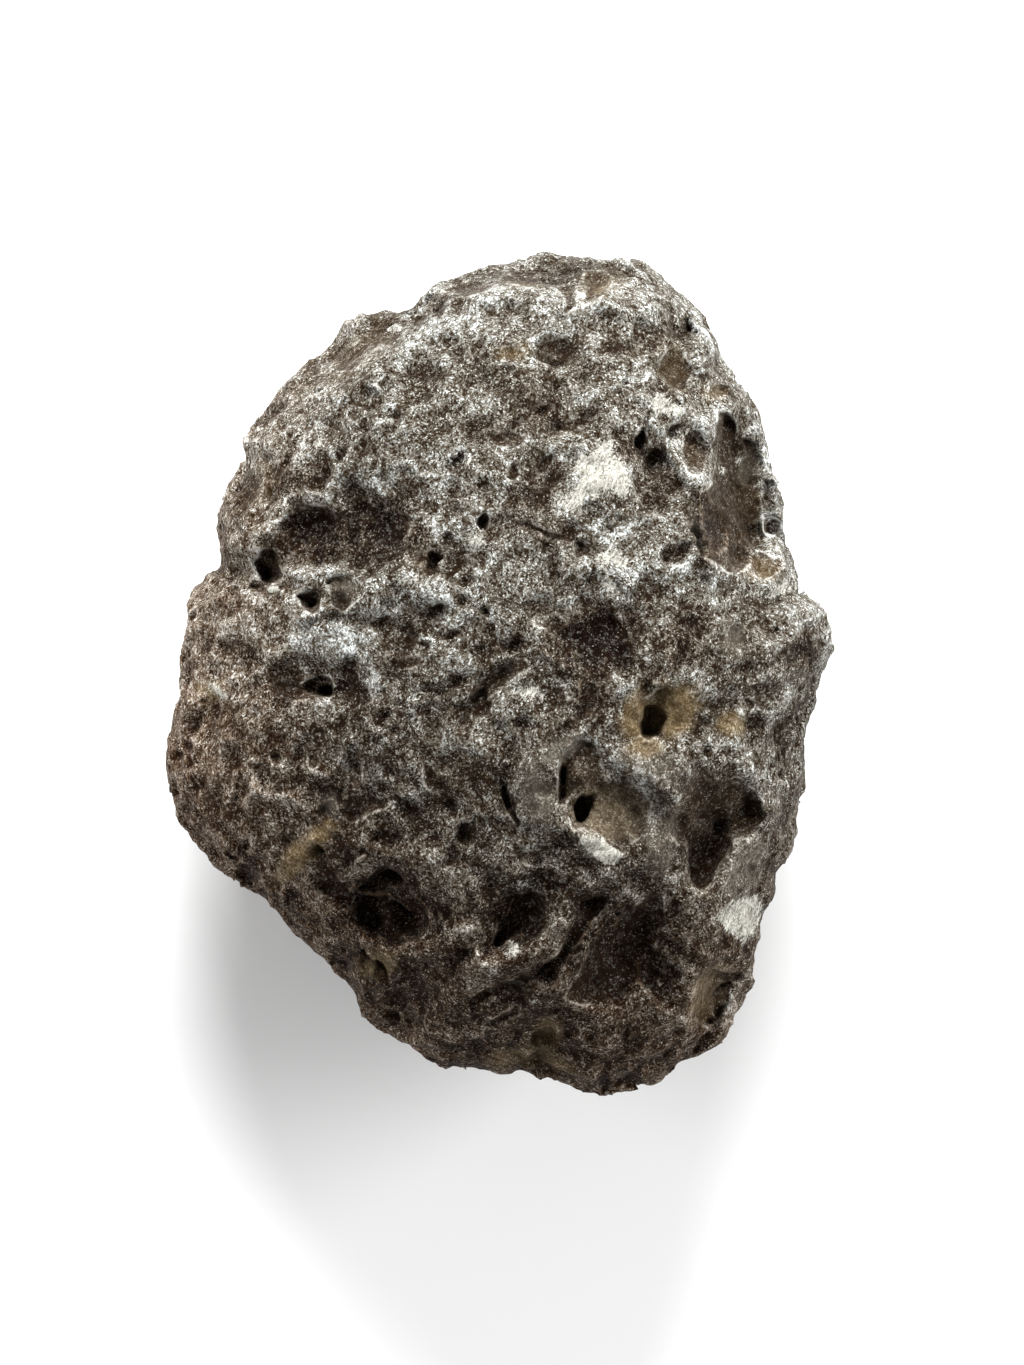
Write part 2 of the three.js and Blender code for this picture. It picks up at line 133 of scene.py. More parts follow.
# Basins etched into the upper face: depth, width of the wall inside the rim, the way it deepens
# in degrees, how much shallower the far side is from 0 to 1, then its rim, (x, y) by (x, y).
BASINS = (
    # the bowl, its upper step and the slit on their left
    (1.0, 1.3, 190, 0.75, (4.4, -8.2), (5.2, -7.7), (6.2, -7.6), (6.7, -7.0), (8.0, -6.9),
     (8.9, -7.4), (9.6, -8.3), (9.8, -9.3), (9.2, -10.4), (7.9, -11.2), (6.6, -10.6),
     (5.6, -10.2), (4.7, -10.0), (4.2, -9.2)),
    (0.8, 0.9, 200, 0.8, (5.3, -4.2), (4.4, -5.0), (3.8, -5.6), (3.75, -7.0), (3.9, -8.4),
     (4.3, -8.3), (5.2, -7.7), (6.2, -7.6), (6.8, -6.8), (6.6, -5.6), (6.2, -4.6)),
    (0.9, 0.3, 0, 0.0, (3.8, -5.8), (4.2, -6.3), (4.5, -7.0), (4.4, -8.4), (3.9, -8.6),
     (3.75, -7.5)),
    (1.1, 0.7, 0, 0.0, (4.5, -8.3), (5.2, -7.8), (6.0, -7.8), (6.1, -8.4), (5.8, -9.2),
     (5.4, -9.8), (4.8, -9.6), (4.45, -9.0)),
    # the crevice left of the raised lens
    (0.9, 0.25, -110, 0.5, (2.2, -4.95), (1.5, -5.5), (1.0, -6.4), (0.55, -7.2), (0.0, -7.9),
     (0.1, -8.4), (0.6, -9.2), (1.0, -9.8), (1.25, -9.7), (1.0, -8.9), (0.65, -8.2),
     (0.5, -7.6), (0.9, -6.8), (1.3, -6.0), (1.9, -5.3)),
    # the hole with the clear funnel beside it
    (0.6, 1.4, 190, 0.7, (8.9, -1.7), (9.4, -1.75), (10.2, -1.1), (10.9, -0.6), (11.9, -0.9),
     (12.6, -1.9), (12.5, -3.0), (11.6, -3.8), (10.6, -4.3), (9.8, -4.4), (9.2, -4.1),
     (8.9, -3.3), (9.1, -2.6), (8.8, -2.2)),
    (0.9, 0.4, 250, 0.3, (8.9, -1.7), (9.4, -1.75), (10.2, -1.1), (10.6, -0.9), (10.7, -1.5),
     (10.4, -2.3), (10.6, -2.9), (10.3, -3.8), (9.8, -4.25), (9.3, -4.0), (9.0, -3.3),
     (9.1, -2.6), (8.8, -2.2)),
    (2.6, 0.3, 250, 0.2, (9.35, -2.2), (9.9, -2.05), (10.35, -2.4), (10.6, -2.85), (10.2, -3.4),
     (10.1, -4.0), (9.6, -4.2), (9.1, -3.9), (9.0, -3.4), (9.2, -2.7)),
    (0.41, 0.38, 180, 0.5, (13.95, -2.8), (14.3, -2.7), (14.4, -3.2), (14.2, -3.8), (13.9, -3.6)),
    # the right hollow, its upper step and its deep end
    (0.6, 0.6, 200, 0.6, (12.7, -5.6), (13.3, -6.0), (14.0, -6.8), (15.4, -6.8), (16.6, -7.4),
     (17.1, -8.4), (17.0, -9.6), (16.2, -10.7), (14.8, -10.6), (13.4, -10.0), (12.0, -9.2),
     (11.1, -8.9), (11.9, -7.2)),
    (0.9, 0.7, 200, 0.35, (10.9, -9.4), (11.4, -8.8), (12.1, -8.7), (12.9, -8.8), (13.5, -8.3),
     (14.1, -9.2), (15.0, -10.6), (15.0, -11.5), (14.3, -12.2), (13.7, -13.3), (12.9, -14.3),
     (12.0, -13.5), (12.2, -12.4), (11.8, -11.3), (11.2, -11.0), (10.9, -10.0)),
    (0.5, 0.4, 0, 0.0, (10.95, -9.4), (11.4, -8.8), (12.0, -8.8), (12.0, -9.6), (11.8, -10.6),
     (11.4, -11.1), (11.0, -10.4)),
    # along the bottom: the pit over the tongue, the grooves and the dark basin
    (0.8, 0.6, 165, 0.65, (0.9, -14.2), (1.9, -13.95), (2.9, -14.3), (3.1, -15.2), (2.4, -16.2),
     (1.2, -17.0), (0.3, -17.5), (-0.4, -18.1), (-0.7, -17.6), (-0.2, -16.6), (0.4, -15.4)),
    (0.9, 0.7, 130, 0.4, (5.9, -15.2), (5.1, -15.6), (4.6, -16.6), (4.0, -17.6), (3.3, -18.4),
     (2.8, -19.2), (3.2, -19.7), (3.9, -19.3), (4.4, -18.2), (5.2, -17.0), (5.9, -16.0),
     (6.8, -15.3), (6.9, -14.6), (6.2, -14.2)),
    (0.61, 0.5, 100, 0.6, (2.2, -19.3), (1.0, -19.6), (-0.2, -19.9), (-1.4, -20.4), (-1.9, -21.0),
     (-1.0, -21.2), (0.2, -20.6), (1.2, -20.3), (2.0, -19.9)),
    (1.1, 1.5, 150, 0.55, (9.9, -14.1), (8.9, -14.9), (7.9, -15.6), (6.8, -16.6), (6.0, -17.3),
     (5.6, -18.2), (4.8, -19.5), (4.2, -20.8), (5.2, -21.4), (6.5, -21.0), (8.0, -20.6),
     (9.0, -19.6), (9.6, -18.4), (10.2, -17.2), (10.4, -15.8), (10.6, -14.6)),
    (0.61, 0.5, 0, 0.3, (8.9, -18.4), (9.8, -18.2), (10.2, -19.2), (10.0, -20.6), (9.2, -20.4),
     (8.8, -19.2)),
    (0.61, 0.62, -120, 0.4, (3.5, -22.4), (3.7, -22.9), (3.3, -23.8), (2.6, -24.3), (1.95, -23.9),
     (2.1, -23.3), (2.9, -22.7)),
    (0.41, 0.5, 90, 0.4, (4.0, -22.6), (5.0, -22.5), (5.3, -23.2), (4.7, -23.7), (4.1, -23.3)),
    (0.41, 0.38, 180, 0.3, (8.5, -22.3), (8.3, -23.2), (7.8, -23.8), (7.6, -23.2), (8.0, -22.5)),
    (0.48, 0.38, 100, 0.5, (1.2, -21.3), (0.2, -21.8), (-0.8, -22.3), (-1.2, -22.8), (-0.7, -22.9),
     (0.2, -22.5), (1.0, -22.0), (1.5, -21.6)),
    (0.6, 0.8, 150, 0.5, (12.6, -19.6), (13.4, -18.9), (14.3, -19.1), (14.9, -19.9),
     (14.8, -21.2), (14.0, -22.4), (13.0, -22.8), (12.4, -22.0), (12.2, -20.8)),
    # the double cavity with an arch over it
    (1.4, 0.5, 90, 0.3, (-9.4, -13.9), (-8.8, -13.2), (-7.8, -12.6), (-7.0, -12.4),
     (-6.2, -12.8), (-5.9, -13.4), (-6.6, -13.7), (-7.0, -13.6), (-7.3, -14.0), (-7.8, -13.9),
     (-8.6, -13.9)),
    (1.3, 1.0, 20, 0.35, (-9.4, -14.3), (-8.6, -14.1), (-7.4, -14.1), (-6.8, -14.5),
     (-5.5, -14.3), (-5.0, -14.7), (-4.6, -15.5), (-4.6, -16.5), (-5.2, -17.2), (-6.4, -17.4),
     (-7.6, -17.0), (-8.7, -16.3), (-9.4, -15.4)),
    (0.48, 0.38, 180, 0.3, (-4.5, -14.6), (-4.0, -14.9), (-3.6, -15.7), (-3.9, -16.3),
     (-4.3, -15.6)),
    (0.61, 0.62, 90, 0.5, (-9.0, -18.6), (-8.3, -18.1), (-7.4, -18.1), (-6.7, -18.8), (-7.2, -19.4),
     (-8.3, -19.3), (-8.9, -19.1)),
    (0.41, 0.38, 90, 0.4, (-6.3, -21.6), (-5.5, -21.6), (-5.2, -22.1), (-5.6, -22.4),
     (-6.3, -22.3)),
    (0.41, 0.62, 90, 0.4, (-11.7, -13.6), (-10.4, -13.2), (-9.4, -13.3), (-9.9, -14.1),
     (-11.2, -14.3)),
    # the saddle at the left: two wide dips, a steep pit and two holes
    (0.75, 1.0, 235, 0.6, (-9.0, 11.0), (-7.7, 11.1), (-6.0, 11.0), (-5.8, 10.0), (-5.9, 8.8),
     (-6.4, 7.6), (-7.0, 6.6), (-8.2, 6.0), (-9.1, 6.1), (-9.4, 6.9), (-9.9, 8.3),
     (-10.1, 9.4), (-9.8, 10.3)),
    (0.61, 1.12, 200, 0.6, (-14.9, 8.4), (-14.2, 9.7), (-12.8, 10.5), (-11.2, 10.8), (-10.2, 10.0),
     (-10.0, 9.0), (-11.0, 8.0), (-12.6, 7.4), (-13.3, 6.6), (-13.9, 5.9), (-14.6, 5.7),
     (-15.3, 6.1), (-15.8, 7.0), (-15.2, 7.9)),
    (0.9, 0.5, 200, 0.5, (-15.8, 7.3), (-15.3, 8.0), (-14.5, 7.9), (-14.0, 6.9), (-14.1, 5.9),
     (-14.8, 5.65), (-15.4, 6.1)),
    (1.5, 0.7, -100, 0.4, (-13.1, 4.9), (-12.6, 5.3), (-11.8, 5.4), (-11.4, 5.0), (-11.5, 4.2),
     (-11.8, 3.8), (-12.2, 3.7), (-12.7, 4.1)),
    (1.0, 0.8, 190, 0.5, (-11.1, 5.6), (-10.7, 6.2), (-10.0, 6.3), (-9.2, 5.9), (-8.7, 5.3),
     (-9.0, 4.7), (-9.8, 4.1), (-10.1, 3.8), (-10.7, 4.2), (-10.8, 5.0)),
    (0.27, 0.5, 0, 0.3, (-6.1, 7.6), (-5.3, 8.4), (-4.7, 7.4), (-5.2, 6.9), (-6.0, 7.1)),
    (0.48, 0.5, 180, 0.5, (-5.0, 7.2), (-4.4, 8.0), (-3.9, 7.4), (-3.7, 6.3), (-4.3, 5.9),
     (-4.8, 6.3)),
    (0.27, 1.5, 90, 0.5, (-17.2, 12.5), (-16.8, 13.1), (-15.0, 12.9), (-13.5, 12.4),
     (-13.2, 11.2), (-14.2, 10.2), (-15.6, 9.2), (-16.6, 9.0), (-17.3, 10.0)),
    # the slot at the left with a deep end
    (0.82, 0.62, 10, 0.6, (-14.9, -1.0), (-14.0, -0.6), (-12.8, -0.9), (-12.0, -0.5), (-10.9, -0.4),
     (-10.7, -0.9), (-10.9, -1.8), (-12.0, -1.9), (-13.2, -2.0), (-14.4, -1.6)),
    (0.68, 0.38, 90, 0.3, (-12.6, -1.1), (-11.9, -0.55), (-10.9, -0.4), (-10.65, -0.9),
     (-10.9, -1.7), (-11.8, -1.8), (-12.4, -1.6)),
    (0.34, 0.38, 180, 0.3, (-9.1, -1.1), (-8.7, -1.0), (-8.2, -1.6), (-8.3, -1.9), (-8.8, -1.8)),
    (0.48, 0.5, 90, 0.4, (-14.9, -5.2), (-14.2, -5.1), (-13.9, -5.6), (-14.3, -6.0),
     (-14.8, -6.0)),
    (0.41, 0.38, 180, 0.4, (-12.3, -5.3), (-11.7, -5.2), (-11.5, -5.8), (-11.9, -6.4),
     (-12.3, -6.1)),
    (0.61, 0.25, 180, 0.2, (-10.5, -7.3), (-10.1, -7.3), (-10.1, -8.2), (-10.2, -9.3),
     (-10.6, -9.2), (-10.35, -8.2)),
    (0.48, 0.75, 160, 0.6, (-10.2, -8.1), (-9.3, -7.6), (-7.5, -8.0), (-6.4, -7.6), (-6.2, -8.2),
     (-7.8, -8.9), (-9.4, -9.6), (-10.2, -9.0)),
    (0.54, 0.25, 0, 0.0, (-12.0, -11.5), (-11.75, -11.1), (-11.45, -11.05), (-11.5, -11.4),
     (-11.8, -11.6)),
    (0.48, 0.38, 180, 0.3, (-16.4, -11.3), (-16.3, -10.8), (-15.95, -10.5), (-15.9, -11.0),
     (-16.1, -11.6)),
    (0.34, 0.38, 90, 0.3, (-17.5, -12.0), (-16.9, -11.7), (-16.4, -11.8), (-16.6, -12.2),
     (-17.2, -12.2)),
    (0.54, 0.75, 180, 0.5, (-4.9, -5.8), (-4.2, -5.6), (-3.6, -6.3), (-3.4, -7.2), (-4.1, -7.8),
     (-4.8, -7.1)),
    (0.88, 0.5, 190, 0.4, (-2.7, -10.0), (-2.0, -9.4), (-1.6, -9.0), (-1.5, -9.8), (-1.4, -10.6),
     (-1.9, -11.2), (-2.6, -11.1), (-2.8, -10.5)),
    (0.41, 0.38, 90, 0.4, (-9.7, -11.9), (-9.0, -11.0), (-8.7, -10.9), (-8.7, -11.5),
     (-9.3, -12.2)),
    (0.34, 0.5, 180, 0.4, (-9.9, -5.6), (-9.0, -5.6), (-8.7, -6.7), (-9.4, -7.1), (-9.9, -6.6)),
    # the shoulder and the shelf of scoops behind the top ridge
    (0.35, 0.88, -50, 0.6, (-10.5, 19.3), (-9.2, 19.4), (-8.8, 20.2), (-8.1, 20.9), (-6.9, 21.2),
     (-6.2, 21.8), (-6.6, 22.1), (-8.0, 22.2), (-9.3, 21.4), (-10.2, 20.4)),
    (0.34, 0.38, -90, 0.4, (-6.9, 22.7), (-6.3, 22.9), (-5.8, 22.8), (-5.9, 22.3), (-6.5, 22.3)),
    (0.54, 0.62, -90, 0.6, (-3.9, 24.4), (-3.0, 25.1), (-1.6, 25.3), (-0.8, 25.3), (-0.4, 24.7),
     (-1.3, 24.2), (-2.3, 24.0), (-3.0, 24.4)),
    (0.61, 0.62, -90, 0.6, (0.5, 25.4), (1.1, 25.9), (2.0, 26.0), (2.4, 25.5), (2.6, 24.9),
     (1.8, 24.7), (1.0, 24.8), (0.5, 25.0)),
    (0.75, 0.5, -90, 0.6, (3.3, 24.9), (4.1, 25.0), (4.9, 24.9), (5.1, 24.2), (4.7, 23.3),
     (4.4, 23.1), (4.2, 23.9), (3.9, 24.4)),
    (0.68, 0.62, -90, 0.6, (5.2, 23.5), (5.6, 24.8), (5.3, 25.6), (6.0, 25.9), (7.0, 25.6),
     (7.3, 25.1), (7.1, 24.5), (6.5, 24.1), (5.9, 23.8)),
    (0.48, 0.5, -90, 0.4, (-1.8, 20.4), (-1.7, 21.4), (-1.1, 21.6), (-0.8, 21.0), (-1.0, 20.3),
     (-1.3, 20.0)),
    (0.55, 0.75, -90, 0.6, (2.1, 20.0), (2.6, 20.8), (3.3, 21.4), (4.3, 21.5), (4.8, 20.9),
     (4.7, 20.1), (4.2, 19.6), (3.6, 19.4), (2.8, 19.6)),
    (0.34, 0.5, -90, 0.5, (0.1, 20.9), (1.0, 20.9), (1.6, 20.4), (1.2, 20.0), (0.3, 19.9)),
    (0.41, 0.5, 0, 0.4, (-8.0, 18.5), (-7.5, 19.1), (-6.9, 19.2), (-6.9, 18.6), (-7.4, 18.2)),
    (0.41, 0.38, 180, 0.3, (-7.0, 17.0), (-6.4, 16.8), (-6.1, 16.2), (-6.6, 15.3), (-7.0, 15.4),
     (-7.0, 16.2)),
    (0.54, 0.38, 0, 0.2, (-0.1, 17.8), (0.4, 17.9), (0.5, 17.4), (0.2, 17.0), (-0.1, 17.1)),
    (0.34, 0.38, 90, 0.3, (2.0, 17.0), (2.8, 17.1), (3.3, 16.8), (2.9, 16.4), (2.1, 16.5)),
    (0.68, 0.75, -100, 0.4, (2.9, 15.5), (3.2, 15.9), (4.4, 16.1), (5.3, 16.6), (6.2, 17.0),
     (6.6, 16.8), (5.8, 16.1), (4.9, 15.6), (4.0, 15.1), (3.1, 15.1)),
    (0.61, 0.62, -90, 0.4, (-0.8, 15.2), (0.2, 15.5), (1.3, 15.1), (1.8, 14.9), (1.3, 14.4),
     (0.3, 14.4), (-0.6, 14.8)),
    (0.61, 0.38, 0, 0.1, (0.35, 12.8), (0.5, 13.2), (0.9, 13.3), (1.2, 12.8), (0.9, 12.4),
     (0.5, 12.4)),
    (0.48, 0.5, 120, 0.4, (1.7, 12.2), (2.0, 12.9), (2.7, 13.7), (3.3, 14.1), (3.6, 13.8),
     (3.2, 13.2), (2.5, 12.6)),
    (0.34, 0.5, 90, 0.3, (2.5, 12.2), (3.4, 12.4), (4.1, 12.1), (3.6, 11.7), (2.8, 11.7)),
    (0.41, 0.5, 0, 0.4, (1.4, 10.7), (1.5, 11.3), (2.0, 11.4), (2.2, 10.8), (1.9, 10.4)),
    (0.41, 0.5, -90, 0.3, (6.4, 20.5), (7.0, 21.0), (8.4, 20.9), (9.8, 20.8), (9.9, 20.4),
     (8.6, 20.1), (7.4, 20.3)),
    (0.34, 0.38, 180, 0.5, (5.2, 21.9), (5.6, 21.9), (5.9, 21.4), (5.6, 21.1), (5.3, 21.3)),
    # the upper right: a sharp-edged scoop, a crevice, folded ledges and hollows
    (0.82, 0.62, 215, 0.6, (10.4, 20.2), (10.7, 20.8), (11.2, 21.0), (11.6, 20.7), (11.9, 20.2),
     (12.3, 19.4), (12.2, 18.5), (11.8, 18.1), (11.2, 18.3), (10.5, 18.8), (10.15, 19.3),
     (10.3, 19.7)),
    (0.34, 0.62, 180, 0.5, (13.2, 17.6), (13.4, 18.3), (14.0, 18.6), (14.7, 18.4), (14.9, 17.8),
     (14.2, 17.5)),
    (0.68, 0.31, 180, 0.3, (9.4, 17.0), (9.8, 16.7), (9.9, 16.2), (9.4, 15.9), (9.2, 15.2),
     (8.9, 14.3), (8.6, 14.3), (8.7, 15.3), (8.9, 15.7), (9.2, 16.2)),
    (0.75, 0.31, 210, 0.3, (10.6, 15.2), (10.8, 15.7), (11.3, 16.0), (11.8, 15.9), (11.6, 15.5),
     (11.1, 15.3), (10.8, 15.1)),
    (0.68, 0.75, 195, 0.6, (11.8, 15.0), (12.3, 15.5), (12.9, 15.5), (13.2, 14.9), (13.3, 14.0),
     (13.1, 13.0), (12.6, 12.4), (12.1, 12.7), (11.8, 13.5), (11.7, 14.3)),
    (0.61, 1.12, 120, 0.6, (8.7, 13.9), (9.3, 14.3), (10.2, 14.2), (11.0, 13.9), (11.4, 13.0),
     (11.2, 11.6), (10.4, 10.4), (9.3, 10.1), (8.7, 11.0), (8.3, 12.0), (8.4, 13.0)),
    (0.82, 1.12, 180, 0.7, (14.1, 16.7), (14.8, 16.6), (15.1, 15.5), (16.4, 14.9), (16.9, 13.6),
     (16.2, 12.4), (16.9, 11.6), (16.9, 10.4), (16.4, 9.6), (16.3, 8.6), (15.9, 7.6),
     (15.4, 6.4), (14.5, 6.2), (14.0, 6.8), (13.2, 7.2), (13.3, 8.0), (12.9, 9.1),
     (12.7, 10.2), (12.9, 11.4), (13.5, 12.0), (13.9, 13.2), (13.8, 14.6), (13.9, 15.8)),
    (0.7, 0.6, 200, 0.5, (14.1, 16.7), (14.8, 16.5), (15.2, 15.6), (15.3, 14.6), (14.8, 13.6),
     (14.1, 13.0), (13.8, 14.2), (13.9, 15.6)),
    (0.6, 0.6, 180, 0.4, (15.5, 14.0), (16.2, 14.9), (16.9, 13.8), (17.0, 12.6), (16.4, 11.7),
     (15.7, 11.9), (15.3, 12.9)),
    (0.8, 0.5, 190, 0.5, (12.9, 10.6), (13.5, 11.1), (14.3, 10.4), (14.6, 9.2), (14.3, 8.0),
     (13.6, 7.4), (13.2, 7.9), (13.1, 9.0)),
    (0.5, 0.5, 120, 0.4, (14.6, 7.9), (15.4, 8.3), (16.0, 7.6), (15.8, 6.6), (15.0, 6.3),
     (14.4, 6.9)),
    (0.54, 0.5, 180, 0.4, (12.9, 9.4), (13.5, 9.6), (14.2, 9.4), (14.1, 8.7), (13.5, 8.3),
     (13.0, 8.6)),
    (0.68, 0.62, 190, 0.4, (16.9, 9.9), (17.3, 10.1), (17.9, 10.0), (18.2, 9.5), (17.9, 9.0),
     (17.3, 8.8), (16.9, 9.2)),
    (0.48, 0.62, 180, 0.4, (16.0, 6.6), (16.1, 7.6), (16.7, 7.9), (17.4, 7.4), (18.2, 7.4),
     (18.3, 6.6), (17.4, 6.1), (16.7, 5.9)),
    (0.48, 0.62, 180, 0.5, (14.8, 3.0), (15.3, 3.3), (15.8, 3.0), (15.9, 2.0), (15.5, 1.3),
     (15.0, 1.6), (14.7, 2.3)),
    (0.34, 0.5, 180, 0.4, (16.7, 3.3), (17.4, 3.5), (17.7, 3.0), (17.4, 2.4), (16.8, 2.4),
     (16.6, 2.8)),
    (0.41, 0.5, 180, 0.3, (15.4, -1.6), (16.0, -1.5), (16.3, -2.2), (15.9, -2.9), (15.4, -2.6)),
    # the middle: a forked crease, a round hole and shallow dark dips
    (0.54, 0.5, 60, 0.2, (1.0, 9.5), (1.8, 9.6), (2.7, 9.0), (3.7, 8.8), (4.6, 8.6), (5.8, 8.0),
     (6.4, 8.1), (5.6, 7.4), (5.0, 6.8), (4.9, 7.6), (4.2, 8.2), (3.0, 8.6), (1.8, 8.8)),
    (0.75, 0.44, 0, 0.1, (-1.4, 9.4), (-1.3, 10.1), (-0.9, 10.3), (-0.6, 9.8), (-0.8, 9.1),
     (-1.2, 9.0)),
    (0.41, 2.0, 45, 0.2, (5.0, 4.6), (6.2, 4.8), (8.0, 4.5), (9.6, 4.0), (9.4, 2.4), (8.8, 0.9),
     (7.4, -0.2), (5.6, 0.2), (4.2, 1.2), (3.6, 2.4), (4.4, 3.4)),
    (0.34, 0.5, 90, 0.3, (2.1, 3.5), (2.8, 3.7), (3.9, 3.6), (4.4, 3.0), (3.6, 2.6), (2.5, 2.8)),
    (0.27, 0.38, 0, 0.3, (0.4, 6.3), (0.9, 6.4), (1.1, 6.0), (0.7, 5.7)),
    (0.41, 0.88, 45, 0.2, (1.9, 1.0), (1.0, 0.9), (-0.4, 0.2), (-1.6, -0.6), (-2.2, -1.4),
     (-1.9, -2.2), (-0.8, -1.8), (0.1, -1.0), (1.0, -0.3), (1.9, 0.2)),
    (0.41, 0.5, 200, 0.4, (-2.3, -2.6), (-1.6, -3.2), (-1.9, -4.4), (-2.6, -4.6), (-3.0, -3.6)),
    (0.34, 0.75, 0, 0.2, (4.9, -0.3), (6.3, -0.7), (6.6, -2.0), (6.1, -3.1), (5.2, -2.9),
     (4.9, -1.8)),
    (0.2, 0.38, 0, 0.2, (3.4, -0.9), (4.4, -0.7), (4.2, -1.7), (3.5, -1.8)),
    (0.34, 0.5, 90, 0.4, (1.0, -11.5), (2.0, -11.3), (2.9, -11.9), (2.5, -12.5), (1.6, -12.3),
     (1.0, -12.0)),
    (0.34, 0.38, 90, 0.3, (-4.6, 2.4), (-3.4, 2.5), (-2.4, 3.0), (-2.6, 2.2), (-3.3, 2.0),
     (-4.4, 2.1)),
    (0.41, 0.38, 0, 0.2, (-4.1, 4.1), (-3.7, 4.4), (-3.4, 4.2), (-3.6, 3.8), (-3.9, 3.8)),
    (0.27, 0.5, 0, 0.2, (-7.6, 1.0), (-6.6, 1.3), (-6.0, 0.9), (-5.0, 1.0), (-5.2, 0.3),
     (-6.8, 0.1), (-7.4, 0.5)),
)

# Rims of the milky plates, which stand in both of the tables that follow.
LOWER_FLAKE = (
    (4.9, -10.3), (5.7, -10.45), (6.5, -10.6), (7.2, -11.2), (7.95, -11.65), (7.5, -12.15),
    (7.1, -12.35), (6.2, -12.0), (5.4, -11.2),
)
TONGUE_FLAKE = (
    (0.3, -17.9), (0.5, -17.3), (0.9, -17.1), (1.3, -17.5), (1.2, -18.1), (0.6, -18.3),
)
SPLINTER = (
    (-19.0, -0.7), (-18.4, -0.5), (-17.7, -1.1), (-17.0, -1.4), (-17.0, -1.7), (-17.9, -1.8),
    (-18.5, -1.3),
)
STRIP = ((-14.95, 5.5), (-14.2, 5.5), (-14.1, 5.2), (-14.8, 5.1))
LARGE_CRUMB = ((-2.65, -1.9), (-2.4, -1.3), (-2.15, -1.4), (-2.4, -2.0))
SMALL_CRUMB = ((-4.1, -1.8), (-3.9, -1.6), (-3.6, -1.9), (-3.8, -2.1))

# Plates that stand proud of the face, with steep edges: height, width of the edge, way, share, rim.
PLATES = (
    (0.5, 0.5, 180, 0.4, (2.1, -4.9), (3.5, -4.8), (5.1, -4.1), (4.4, -4.9), (3.8, -5.6),
     (3.7, -7.0), (3.8, -8.6), (4.3, -9.6), (5.0, -10.3), (4.2, -10.1), (3.0, -10.0),
     (1.3, -9.9), (0.8, -9.0), (0.5, -8.0), (0.45, -7.5), (0.9, -6.5), (1.5, -5.6)),
    (0.3, 0.4, -60, 0.3, *LOWER_FLAKE),
    (0.6, 0.5, -60, 0.5, (-1.7, -18.6), (-0.9, -19.3), (-0.2, -19.6), (1.0, -19.3), (2.4, -18.9),
     (3.5, -18.2), (4.2, -17.1), (4.7, -16.2), (4.2, -15.6), (3.2, -16.4), (2.2, -16.9),
     (1.2, -17.3), (0.4, -17.7), (-0.5, -18.3)),
    (0.5, 0.4, -50, 0.4, (1.5, -20.4), (2.1, -19.9), (3.0, -19.9), (3.9, -19.4), (4.6, -18.4),
     (5.4, -17.3), (6.3, -16.3), (7.4, -15.5), (8.3, -15.0), (7.6, -15.9), (6.4, -16.8),
     (5.6, -18.0), (4.8, -19.2), (4.0, -20.2), (3.2, -20.9), (2.5, -21.4), (1.8, -21.2)),
    (0.35, 0.4, 0, 0.0, *TONGUE_FLAKE),
    (0.3, 0.25, 0, 0.0, *LARGE_CRUMB),
    (0.25, 0.2, 0, 0.0, *SMALL_CRUMB),
    (0.35, 0.35, 0, 0.0, (-11.3, 4.0), (-10.9, 4.2), (-10.5, 3.9), (-10.7, 3.5), (-11.2, 3.5)),
    (0.15, 0.2, 0, 0.0, *SPLINTER),
    (0.2, 0.2, 0, 0.0, *STRIP),
    (0.6, 0.35, -60, 0.4, (12.5, 12.0), (13.4, 11.4), (14.4, 10.2), (14.1, 9.6), (13.1, 10.5),
     (12.5, 11.2)),
    (0.3, 0.3, 0, 0.3, (-7.9, -13.7), (-6.7, -14.1), (-5.4, -14.0), (-4.8, -14.6), (-4.6, -15.6),
     (-4.9, -15.4), (-5.2, -14.8), (-6.7, -14.5), (-7.8, -14.1)),
)

